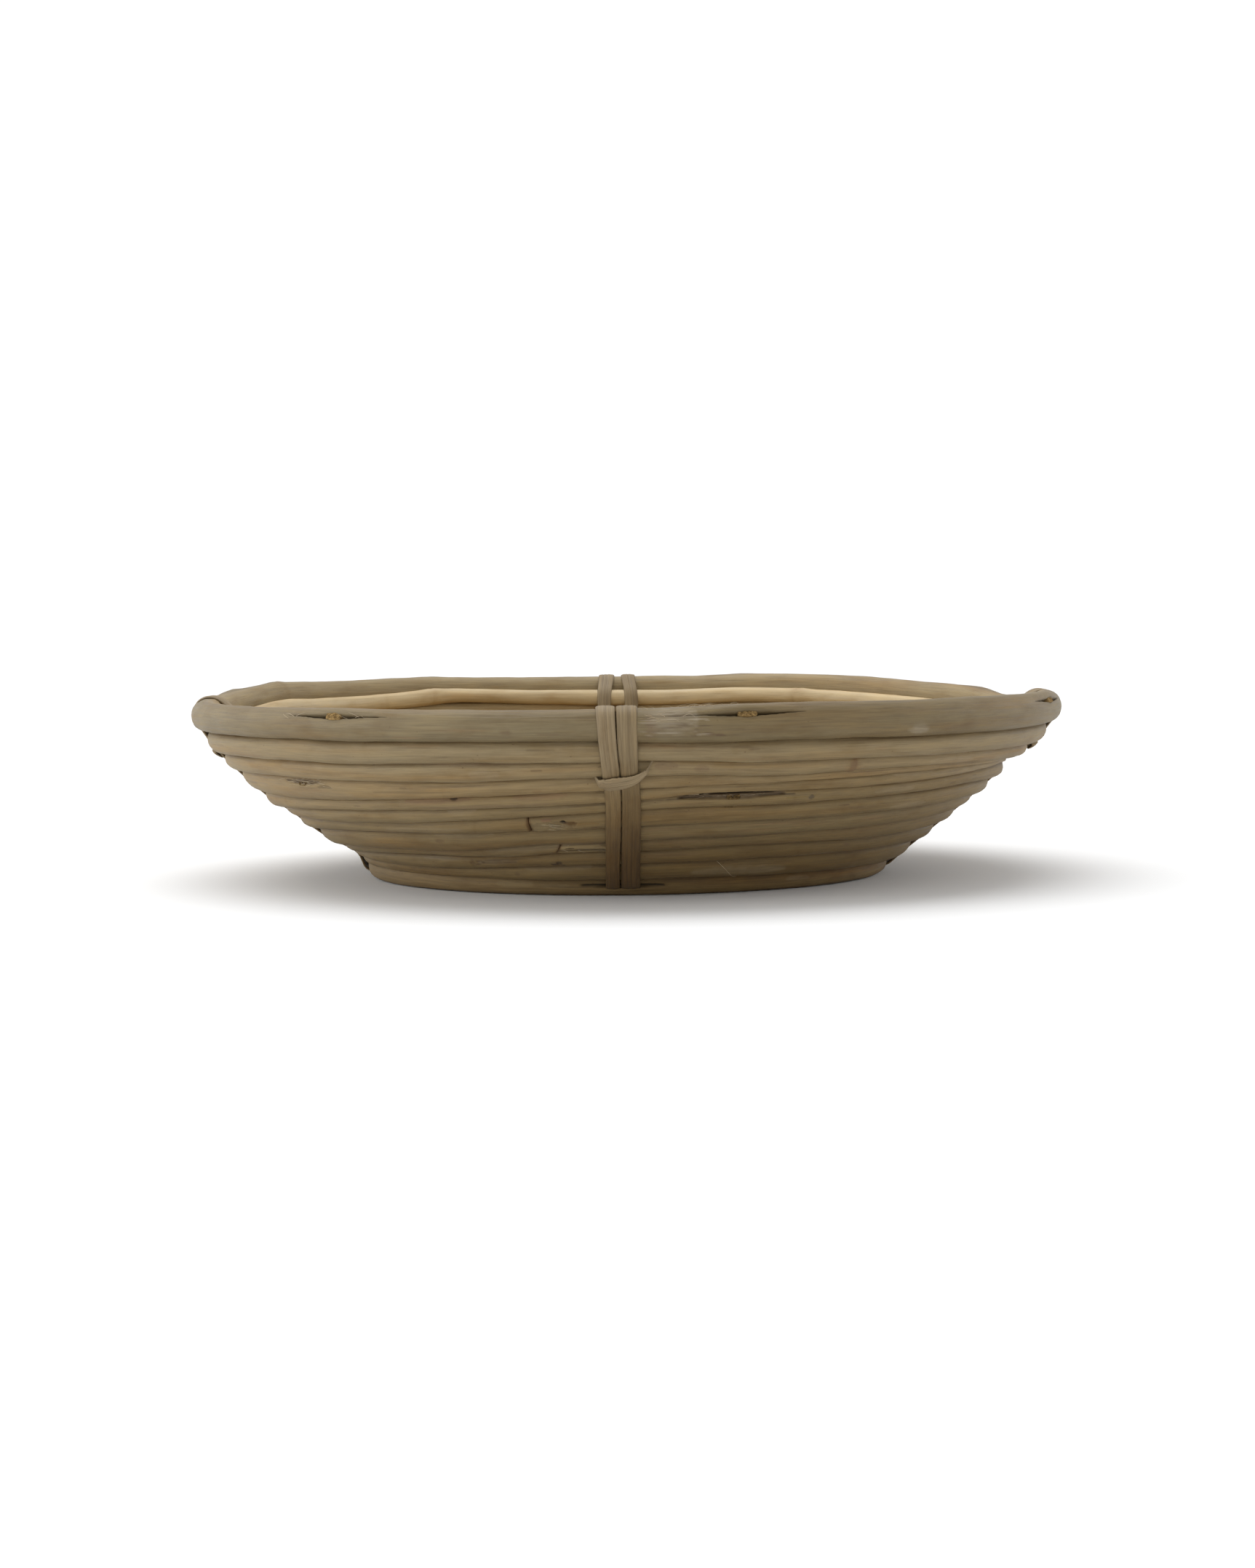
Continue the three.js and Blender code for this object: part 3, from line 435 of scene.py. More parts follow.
    # rounded ends
    e = np.minimum(s, total - s)
    k = np.where(e < 0.9, np.sqrt(np.clip(1 - ((0.9 - e) / 0.9) ** 2, 0.0, 1)) * 0.16 + 0.84, 1.0)[:, None]
    ln = np.hypot(off_t, off_n) + 1e-6
    off_t = off_t * k * (1 + d / ln)
    off_n = off_n * k * (1 + d / ln)
    ragged = 0.5 + 0.5 * vnoise(off_t * 1.4, phi[None] * 3, seed=seed + 61)
    tint = tint * (1 - 0.55 * (1 - smooth(0.2, 1.1 + 1.4 * ragged, e[:, None]))[..., None] * np.array([0.75, 0.95, 1.1]))
    near_end = 1 - smooth(0.0, 7.0, total - S)
    near_start = 1 - smooth(0.0, 7.0, S)
    shift = near_end * (end_skew * off_t + 0.30 * (ragged - 0.6)) + near_start * (end_skew * off_t)
    shift = shift + 0.16 * near_end - 0.10 * near_start
    R = r[:, None] + off_t * tr[:, None] + off_n * tz[:, None]
    Z = z[:, None] + off_t * tz[:, None] - off_n * tr[:, None]
    A = np.radians(az)[:, None] + shift / r[:, None]
    X, Y = R * np.sin(A), -R * np.cos(A)
    V = np.stack([X, Y, Z + 0 * X], -1).reshape(-1, 3)
    co = np.stack([S + 0 * X + seed * 61.0, off_t + 0 * X, off_n + 0 * X], -1).reshape(-1, 3)
    def centre(i):
        t = math.radians(az[i])
        return [r[i] * math.sin(t), -r[i] * math.cos(t), z[i]]
    V = np.vstack([V, centre(0), centre(-1)])
    co = np.vstack([co, [seed * 61.0, 0, 0], [total + seed * 61.0, 0, 0]])
    T3 = np.vstack([tint.reshape(-1, 3), base * 0.55, base * 0.55])
    ob = write_mesh(name, V, tube_faces(n, m), co, T3)
    fix_winding(ob)
    return ob

# the rim rod, with the splits that its pegs opened
def rim_splits(az, S, phi, off_t, off_n, d, tint, r, mean_a):
    deg = np.degrees(phi)[None]
    for q, ln in zip(PEGS, SPLIT_LEN):
        da = (((az - q + 180) % 360 - 180) * np.pi / 180 * 222.0)[:, None]
        x = np.clip(np.abs(da) / ln, 0, 1)
        u = np.clip(1 - x ** 1.5, 0, 1)
        line = 60 + 1.2 * np.sin(da / 9.0 + q)           # the crack wanders
        w = mean_a * np.radians((deg - line + 180) % 360 - 180)
        open_ = 0.15 + 1.12 * (1 - x) ** 1.5 * (0.9 + 0.1 * np.sin(da / 2.1 + q))
        inside = np.exp(-(np.abs(w) / open_) ** 8) * (x < 1)
        depth = 4.6 * (1 - x) ** 0.5
        # the strand above the crack bows up, the one below is pressed flat
        d = d + 1.35 * u * np.exp(-((w + open_ + 2.2) / 2.6) ** 2)
        d = d - 0.45 * u * np.exp(-((w - open_ - 1.4) / 1.6) ** 2)
        d = d - depth * inside
        # the crack's inside is painted near black: painted shade in its depth
        dark = (inside * smooth(0.0, 0.12, 1 - x))[..., None]
        tint = tint * (1 - 0.9 * dark) + 0.9 * dark * np.array([0.035, 0.022, 0.012])
        lip = np.exp(-((np.abs(w) - open_ - 0.35) / 0.4) ** 2) * u
        tint = tint * (1 - 0.18 * lip[..., None])
    return off_t, off_n, d, tint

MARK_SCALE = 0.55
PALE = (0.60, 0.50, 0.35)
BROWN = (0.20, 0.12, 0.06)
RUST = (0.40, 0.24, 0.11)
rim_marks = [
    (5.4, 66, 9.5, 6.5, (0.50, 0.42, 0.30), 0.5, 0.12), (2.8, 100, 1.6, 5.0, (0.30, 0.19, 0.11), 0.4, 0.1),      # scraped patch beside the bands
    (9.6, 116, 2.6, 0.32, BROWN, 0.85, 0.15), (10.4, 121, 3.6, 0.34, BROWN, 0.8, 0.15), (11.0, 126, 2.0, 0.25, BROWN, 0.7, 0.1), (8.2, 113, 1.6, 0.25, BROWN, 0.6, 0.1),
    (-14.0, 112, 1.6, 1.3, BROWN, 0.45, 0.1), (-9.0, 120, 5.0, 0.5, BROWN, 0.4, 0.0),
    (37.6, 128, 4.6, 2.3, (0.50, 0.42, 0.29), 0.55, -0.12),   # pale half moon
    (-62, 95, 1.2, 0.5, RUST, 0.5, 0), (-27, 135, 7, 0.6, RUST, 0.4, 0),
    (30, 84, 9, 0.5, BROWN, 0.25, 0), (52, 100, 9, 0.5, BROWN, 0.3, 0), (-20, 104, 12, 0.5, RUST, 0.3, 0),
]
rng = np.random.default_rng(77)
for _ in range(46):
    pale_ = rng.random() < 0.5
    rim_marks.append((rng.uniform(1.9, 9.4), rng.uniform(40, 125), rng.uniform(0.8, 4.5), rng.uniform(0.12, 0.30),
                      (0.66, 0.56, 0.42) if pale_ else (0.22, 0.15, 0.09), rng.uniform(0.25, 0.7), -0.12 if pale_ else 0.22))
for _ in range(60):                                # long hair cracks and weathered fibres all round
    rim_marks.append((rng.uniform(-180, 180), rng.uniform(35, 150), rng.uniform(6, 30), rng.uniform(0.12, 0.26),
                      (0.25, 0.18, 0.10), rng.uniform(0.2, 0.5), 0.08))
rim = swept_rod("rim_hoop_rod", rim_section, -1.2, RIM_C, 11, shade_and_stain=0.20, n=1040, m=94, expo=2.12, gap=0.12,
                nodes_at=((243.0, 0.8), (100.0, 0.3)), marks=rim_marks, extra=rim_splits, lump=0.3, crevice=0.08,
                dense=[(q, 8.6) for q in PEGS], focus=60, ringed=0.15, inside=1.5)
dress(rim, MAT_RIM, "rim_rod", "rim_hoop")

inner = swept_rod("inner_rim_rod", inner_section, 117.0, INNER_C, 12, n=900, m=32, expo=2.1,
                  nodes_at=((151.0, 0.9), (213.0, 0.7), (222.0, 0.4)), lump=0.22, crevice=0.04, ringed=0.12)
dress(inner, MAT_INNER, "rim_rod", "inner_rim_hoop")

# the wall
START = {1: 144, 2: 225, 3: 171, 4: 198, 5: 243, 6: -15.0, 7: 126, 8: -12.1, 9: 216, 10: 153}
# the three tables below make the lower rods darker and yellower: partly dirt, partly painted shade towards the bottom
TONE = {1: (0.95, 1.0, 1.08), 2: (0.97, 1.0, 1.05), 3: (0.98, 0.98, 0.97), 4: (0.97, 0.97, 0.95), 5: (0.94, 0.94, 0.91),
        6: (0.92, 0.92, 0.88), 7: (0.90, 0.89, 0.84), 8: (0.88, 0.86, 0.80), 9: (0.85, 0.82, 0.74), 10: (0.85, 0.82, 0.74)}
HEIGHT_TONE = {1: 1.00, 2: 1.04, 3: 1.05, 4: 1.0, 5: 0.97, 6: 0.95, 7: 0.94, 8: 0.93, 9: 0.93, 10: 0.97}
SHADE_AND_STAIN = {1: 0.06, 2: 0.06, 3: 0.07, 4: 0.12, 5: 0.17, 6: 0.18, 7: 0.18, 8: 0.20, 9: 0.29, 10: 0.32}
marks = {k: [] for k in range(1, 11)}
marks[1] += [(-26, 30, 9, 0.7, RUST, 0.35, 0), (6, 35, 10, 1.0, RUST, 0.3, 0), (33, 60, 3, 1, RUST, 0.3, 0)]
marks[2] += [(30.6, 88, 1.5, 6.0, (0.26, 0.15, 0.07), 0.7, -0.25), (30.6, 88, 3.4, 6.0, RUST, 0.3, -0.1),
             (5.0, 55, 4.5, 2.2, (0.33, 0.21, 0.12), 0.45, 0.1), (9.5, 70, 3.0, 1.8, (0.33, 0.21, 0.12), 0.5, 0.1),
             (-20, 25, 22, 0.8, (0.30, 0.19, 0.11), 0.5, 0)]
marks[3] += [(-52, 42, 12.0, 1.1, (0.16, 0.10, 0.05), 0.85, 0.9), (-47, 60, 5.0, 0.7, (0.22, 0.15, 0.07), 0.7, 0.3),
             (-50, 72, 9.0, 0.5, (0.25, 0.17, 0.09), 0.5, 0.2), (-12, 95, 2.0, 1.1, RUST, 0.5, 0), (14, 120, 20, 2.4, (0.50, 0.34, 0.17), 0.3, 0)]
marks[4] += [(-28, 38, 16, 1.3, (0.36, 0.20, 0.10), 0.55, 0.1), (-25.2, 32, 1.6, 1.0, (0.10, 0.06, 0.03), 0.9, 0.4),
             (-12, 40, 11, 1.6, (0.38, 0.22, 0.12), 0.45, 0), (-20, 92, 30, 0.7, (0.33, 0.20, 0.12), 0.35, 0),
             # (-6, 150, ...) is a dark line along the rod's lower seam: painted shadow in the gap
             (-6, 150, 14, 0.9, (0.07, 0.045, 0.02), 0.8, 0.4)]
marks[5] += [(15.0, 30, 21.0, 2.3, (0.20, 0.135, 0.075), 0.85, 1.3), (14.6, 18, 19.0, 0.6, (0.06, 0.04, 0.02), 0.9, 0.6), (8.8, 40, 9.0, 0.4, (0.07, 0.045, 0.02), 0.8, 0.3),
             (21.5, 40, 8.0, 0.35, (0.07, 0.045, 0.02), 0.8, 0.3), (24.5, 62, 4.5, 0.35, (0.30, 0.20, 0.05), 0.6, 0.1), (27.5, 58, 2.5, 0.3, (0.30, 0.20, 0.05), 0.6, 0.1),
             (8, 75, 9, 0.7, RUST, 0.35, 0), (27, 70, 1.3, 1.3, (0.13, 0.10, 0.07), 0.7, 0.3), (24, 105, 6, 0.7, BROWN, 0.35, 0)]
marks[6] += [(-6.6, 74, 6.5, 0.75, (0.40, 0.25, 0.09), 0.6, 0.3), (-8.6, 70, 3.0, 1.1, (0.20, 0.11, 0.035), 0.85, 0.7), (-9.6, 62, 1.3, 0.8, (0.02, 0.012, 0.008), 1.0, 1.2),
             (-12.2, 44, 2.2, 0.8, (0.40, 0.20, 0.11), 0.6, 0.0), (-6.2, 112, 3.0, 0.35, (0.22, 0.12, 0.05), 0.6, 0.2), (-4.9, 106, 1.2, 0.5, (0.24, 0.13, 0.05), 0.6, 0.2), (-4.5, 105, 2.5, 0.9, (0.24, 0.14, 0.06), 0.55, 0.1),
             # (5.2, 150, ...) is a dark line along the rod's lower seam: painted shadow in the gap
             (5.2, 150, 6.5, 0.8, (0.05, 0.035, 0.02), 0.9, 0.5), (-36, 92, 2.0, 0.9, (0.30, 0.18, 0.06), 0.55, 0)]
marks[7] += [(16, 110, 30, 0.9, (0.22, 0.14, 0.06), 0.6, 0.15), (28, 120, 16, 0.8, (0.26, 0.17, 0.07), 0.5, 0.1),
             (8, 85, 15, 0.6, RUST, 0.3, 0), (-33, 60, 2.0, 1.0, BROWN, 0.5, 0), (-26, 120, 2, 0.8, BROWN, 0.5, 0)]
marks[8] += [(-9.9, 84, 1.7, 0.5, (0.05, 0.03, 0.015), 0.95, 0.7), (22, 120, 9, 1.0, RUST, 0.35, 0), (-7, 40, 9, 0.6, BROWN, 0.6, 0.2)]
marks[9] += [(-30.6, 66, 0.9, 1.9, (0.20, 0.12, 0.05), 0.65, 0.2), (-29.4, 76, 1.6, 0.5, (0.14, 0.08, 0.04), 0.7, 0.3), (-29.0, 56, 1.8, 0.5, (0.14, 0.08, 0.04), 0.7, 0.3), (-25, 62, 9, 1.4, (0.40, 0.32, 0.22), 0.35, 0.2), (-28.2, 66, 1.0, 0.4, (0.10, 0.06, 0.03), 0.7, 0.2),
             (-24, 52, 9, 0.45, (0.16, 0.10, 0.05), 0.6, 0.25), (-24.5, 70, 8, 0.4, (0.18, 0.11, 0.05), 0.5, 0.2),
             (-13.0, 92, 2.2, 0.7, (0.08, 0.05, 0.03), 0.8, 0.3), (-12.4, 80, 1.4, 0.6, (0.08, 0.05, 0.03), 0.8, 0.3), (-11.8, 100, 1.2, 0.5, (0.08, 0.05, 0.03), 0.7, 0.2)]
# the dark lines at 152 run along the seam above the foot: painted shadow in the gap
marks[10] += [(30, 152, 46, 0.7, (0.03, 0.02, 0.01), 0.85, 0.3), (-42, 152, 20, 0.5, (0.04, 0.03, 0.015), 0.6, 0.2), (-22, 70, 1.2, 0.8, BROWN, 0.5, 0), (12, 95, 12, 0.6, BROWN, 0.35, 0)]
for k in range(1, 11):
    rng = np.random.default_rng(500 + k)
    for _ in range(26):                                       # scattered scars, stains and bruises
        a0, p0 = rng.uniform(-180, 180), rng.uniform(25, 155)
        kind = rng.integers(0, 3)
        if kind == 0:
            marks[k].append((a0, p0, rng.uniform(1.0, 3.2), rng.uniform(0.22, 0.42), BROWN, rng.uniform(0.35, 0.8), 0.1))
        elif kind == 1:
            marks[k].append((a0, p0, rng.uniform(4, 16), rng.uniform(0.4, 0.9), RUST, rng.uniform(0.2, 0.45), 0.0))
        else:
            marks[k].append((a0, p0, rng.uniform(5, 22), rng.uniform(1.0, 2.6), (0.56, 0.45, 0.29), rng.uniform(0.12, 0.3), 0.0))
    for _ in range(34):
        marks[k].append((rng.uniform(-180, 180), rng.uniform(20, 160), rng.uniform(5, 26), rng.uniform(0.10, 0.22),
                         (0.24, 0.16, 0.08), rng.uniform(0.25, 0.6), 0.06))
    ob = swept_rod("wall_rod_%02d" % k, lambda a, k=k: wall_section(k, a), START[k], WALL_C * np.array(TONE[k]) * HEIGHT_TONE[k], 40 + k, shade_and_stain=SHADE_AND_STAIN[k],
                   n=1240, m=52, expo=2.2, nodes_at=(((30.6, 0.8),) if k == 2 else ()), marks=marks[k],
                   scarf={6: (14.0, 19.0, 0.80, 0.0), 8: (21.0, 25.0, 0.72, 1.0)}.get(k), lump=0.32, crevice=0.36,
                   dense=[(0.0, 24.0)], end_skew={6: 0.0, 8: 0.55}.get(k, 0.25), inside=1.6)
    dress(ob, MAT_WALL, "wall_rod", "wall_hoop_%02d" % k)

# the foot hoop: flat underneath, with the slits that the bands come out of
def foot_shape(az, S, phi, off_t, off_n, d, tint, r, mean_a):
    for q, ln in ((-1.0, 21), (90, 13), (180, 21), (270, 13)):
        da = (((az - q + 180) % 360 - 180) * np.pi / 180 * 134.0)[:, None]
        u = np.clip(1 - (np.abs(da) / ln) ** 2.5, 0, 1)
        zc = off_t + 1.1                                     # slit 1.1 mm below the middle
        inside = np.exp(-(np.abs(zc) / (0.2 + 0.75 * u)) ** 6) * (u > 0) * (np.sin(phi)[None] > 0)
        d = d - 3.2 * u ** 0.5 * inside
        # the slits are painted dark: painted shade inside them
        tint = tint * (1 - 0.88 * (inside * smooth(0, 0.2, u))[..., None])
    return off_t, off_n, d, tint
foot = swept_rod("foot_hoop_rod", foot_section, 216.0, FOOT_C, 71, shade_and_stain=0.36, n=900, m=48, expo=2.3, extra=foot_shape, lump=0.22, wander=0.12,
                 marks=[(-24, 95, 8, 1.2, (0.42, 0.31, 0.15), 0.5, 0.1), (-15, 100, 6, 0.8, (0.40, 0.30, 0.15), 0.4, 0.1),
                        (12, 80, 10, 0.8, BROWN, 0.4, 0), (28, 78, 8, 0.8, BROWN, 0.4, 0), (38, 95, 6, 0.8, (0.44, 0.32, 0.18), 0.4, 0)])
me = foot.data
v = np.empty(len(me.vertices) * 3, np.float32)
me.vertices.foreach_get("co", v)
v = v.reshape(-1, 3)
v[:, 2] = np.maximum(v[:, 2], 0.0)
me.vertices.foreach_set("co", v.ravel())
dress(foot, MAT_FOOT, "foot_rod", "foot_hoop")

# ------------------------------------------------------------------ floor coil
def floor_coil():
    out, rod, pitch, turns_n = 122.2, 4.4, 9.2, None
    turns_n = (out - 2 * rod - 1.8) / pitch + 1 + 0.42
    n, m = 3600, 24
    u = np.linspace(0, 1, n)
    # steps even in length: r falls steadily with the turns
    turn = turns_n * (1 - np.sqrt(1 - u * 0.9995))
    t = 2 * np.pi * turn
    rr = 0.3 + (rod - 0.3) * np.minimum(turn, 1)
    edge = np.where(turn < 1, turn, 1 + pitch * (turn - 1))
    r0 = out - edge - rr
    r0 = np.maximum(r0, 1.2)
    rr = rr * (1 - 0.35 * smooth(turns_n - 0.5, turns_n, turn))
    x, y = r0 * np.sin(t), -r0 * np.cos(t)
    s = np.r_[0, np.cumsum(np.hypot(np.diff(x), np.diff(y)))]
    r = r0 + 0.25 * vnoise(s / 60.0, 3.0, seed=81) * np.minimum(turn, 1)
    z = 10.2 - rod + rr + 0.35 * fbm(s / 70.0, 7.0, seed=82, octaves=2) * np.minimum(turn, 1)
    phi = np.linspace(0, 2 * np.pi, m, endpoint=False)
    cp, sp = np.cos(phi)[None], np.sin(phi)[None]
    S = s[:, None]
    d = 0.18 * fbm(S / 17.0, cp * 1.3, sp * 1.3, seed=83, octaves=2) + 0.07 * fbm(S / 24.0, cp * 5, sp * 5, seed=84, octaves=2)
    tint = np.ones((n, m, 3)) * np.array([0.44, 0.336, 0.188])
    tint = tint * (1 + 0.10 * fbm(S / 60.0, cp * 0.8, sp * 0.8, seed=85))[..., None]
    # darker where the turns touch each other: painted shade in the grooves
    tint = tint * (1 - 0.32 * smooth(0.80, 0.99, np.abs(cp))[..., None] * np.array([0.85, 1, 1.15]))
    rng = np.random.default_rng(86)
    pos = 60.0
    while pos < s[-1]:
        a = rng.uniform(0.3, 0.8)
        d = d + a * (0.5 * bell(S, pos, 5.0) - 0.3 * bell(S, pos + 1.1, 0.9)) * np.ones_like(cp)
        tint = tint * (1 - (0.3 * a * bell(S, pos + 0.6, 1.3) * np.ones_like(cp))[..., None] * np.array([0.8, 1, 1.3]))
        pos += rng.uniform(90, 200)
    k = (rr / rod)[:, None]
    off_r = (rr[:, None] * 1.03 + d * k) * signed_pow(cp, 2 / 2.3)
    off_z = (rr[:, None] + d * k) * signed_pow(sp, 2 / 2.3)
    R = r[:, None] + off_r
    V = np.stack([R * np.sin(t)[:, None], -R * np.cos(t)[:, None], z[:, None] + off_z], -1).reshape(-1, 3)
    V = np.vstack([V, [r[0] * math.sin(t[0]), -r[0] * math.cos(t[0]), z[0]], [r[-1] * math.sin(t[-1]), -r[-1] * math.cos(t[-1]), z[-1]]])
    co = np.stack([S + 0 * off_r + 9000, off_r, off_z], -1).reshape(-1, 3)
    co = np.vstack([co, co[0], co[-1]])
    T = tint.reshape(-1, 3)
    ob = write_mesh("floor_coil_rod", V, tube_faces(n, m), co, np.vstack([T, T[0], T[-1]]))
    fix_winding(ob)
    return dress(ob, MAT_INNER, "foot_rod", "floor_coil")
floor_coil()

# ------------------------------------------------------------------ bands
def outline_at(az, k):
    """Outline points (r, z) of one rod's section; k = 0 rim, 1..10 wall, 'in' inner rim."""
    a = np.array([float(az)])
    sec = {0: rim_section, 'in': inner_section}.get(k) or (lambda q: wall_section(k, q))
    r, z, tr, tz, h, th = (float(np.broadcast_to(v, (1,))[0]) for v in sec(a))
    p = np.linspace(0, 2 * np.pi, 48, endpoint=False)
    e = 2.1 if k in (0, 'in') else 2.2
    ct, sn = h * signed_pow(np.cos(p), 2 / e), th * signed_pow(np.sin(p), 2 / e)
    return np.stack([r + ct * tr + sn * tz, z + ct * tz - sn * tr], -1)

def hull(points):
    pts = sorted(map(tuple, points))
    def half(seq):
        h = []
        for p in seq:
            while len(h) > 1 and (h[-1][0] - h[-2][0]) * (p[1] - h[-2][1]) - (h[-1][1] - h[-2][1]) * (p[0] - h[-2][0]) <= 1e-9:
                h.pop()
            h.append(p)
        return h
    return np.array(half(pts)[:-1] + half(pts[::-1])[:-1])      # anticlockwise

def resample(path, step):
    path = np.asarray(path, float)
    d = np.r_[0, np.cumsum(np.hypot(*np.diff(path, axis=0).T))]
    q = np.arange(0, d[-1], step)
    return np.stack([np.interp(q, d, path[:, 0]), np.interp(q, d, path[:, 1])], -1)

def blur(v, sigma, wrap=False):
    k = int(sigma * 4)
    w = np.exp(-0.5 * (np.arange(-k, k + 1) / sigma) ** 2)
    w /= w.sum()
    return np.convolve(np.pad(v, k, mode='wrap' if wrap else 'edge'), w, mode='valid')

def outer_path(az, under):
    """From the foot's slit, up over the outermost line of every rod, to the top of the rim."""
    a = np.array([float(az)])
    path = [(134.9, under), (136.4, under + 0.9)]
    for k in range(10, 0, -1):
        r, z, tr, tz, h, th = (float(np.broadcast_to(v, (1,))[0]) for v in wall_section(k, a))
        p = (r + tz * th, z - tr * th)
        if p[0] > path[-1][0] - 0.5 and p[1] > path[-1][1] + 1.2:
            path.append(p)
    rim = outline_at(az, 0)
    low = hull(np.vstack([rim, path[-2:]]))
    i0 = int(np.argmin(np.hypot(low[:, 0] - path[-2][0], low[:, 1] - path[-2][1])))
    low = np.roll(low, -i0, axis=0)
    top = int(np.argmax(low[:, 1]))
    p = resample(np.vstack([path[:-2], low[:top + 1]]), 0.5)
    n = len(p)
    q = np.stack([blur(p[:, 0], 5), blur(p[:, 1], 5)], -1)
    w = (smooth(3, 10, np.arange(n) * 0.5) * smooth(5, 16, (n - 1 - np.arange(n)) * 0.5))[:, None]
    return p * (1 - w) + q * w

def inner_path(az, over):
    """From the top of the rim down the inside to the floor: rests on the rods' inner sides."""
    rim = outline_at(az, 0)
    inn = outline_at(az, 'in')
    top = hull(np.vstack([rim, inn, inn - [0, 3]]))
    i0 = int(np.argmax(top[:, 1]))
    top = np.roll(top, -i0, axis=0)
    stop = int(np.argmax(top[:, 1] < inn[:, 1].mean() - 1.5))
    path = list(map(tuple, top[:stop]))
    for k in range(1, 11):
        q = outline_at(az, k)
        a = np.array([float(az)])
        r, z, tr, tz, h, th = (float(np.broadcast_to(v, (1,))[0]) for v in wall_section(k, a))
        p = (r - tz * th, z + tr * th)
        if p[1] < path[-1][1] - 3 and p[0] < path[-1][0] + 0.5 and p[1] > over + 4:
            path.append(p)
    path += [(path[-1][0] - 8, over + 0.9), (path[-1][0] - 16, over)]
    p = resample(path, 0.5)
    q = np.stack([blur(p[:, 0], 5), blur(p[:, 1], 5)], -1)
    w = smooth(10, 30, np.arange(len(p)) * 0.5)[:, None] if False else smooth(6, 16, np.arange(len(p)) * 0.5)[:, None]
    return p * (1 - w) + q * w

BAND_T = 1.15
CANE_C = np.array([0.245, 0.184, 0.105])

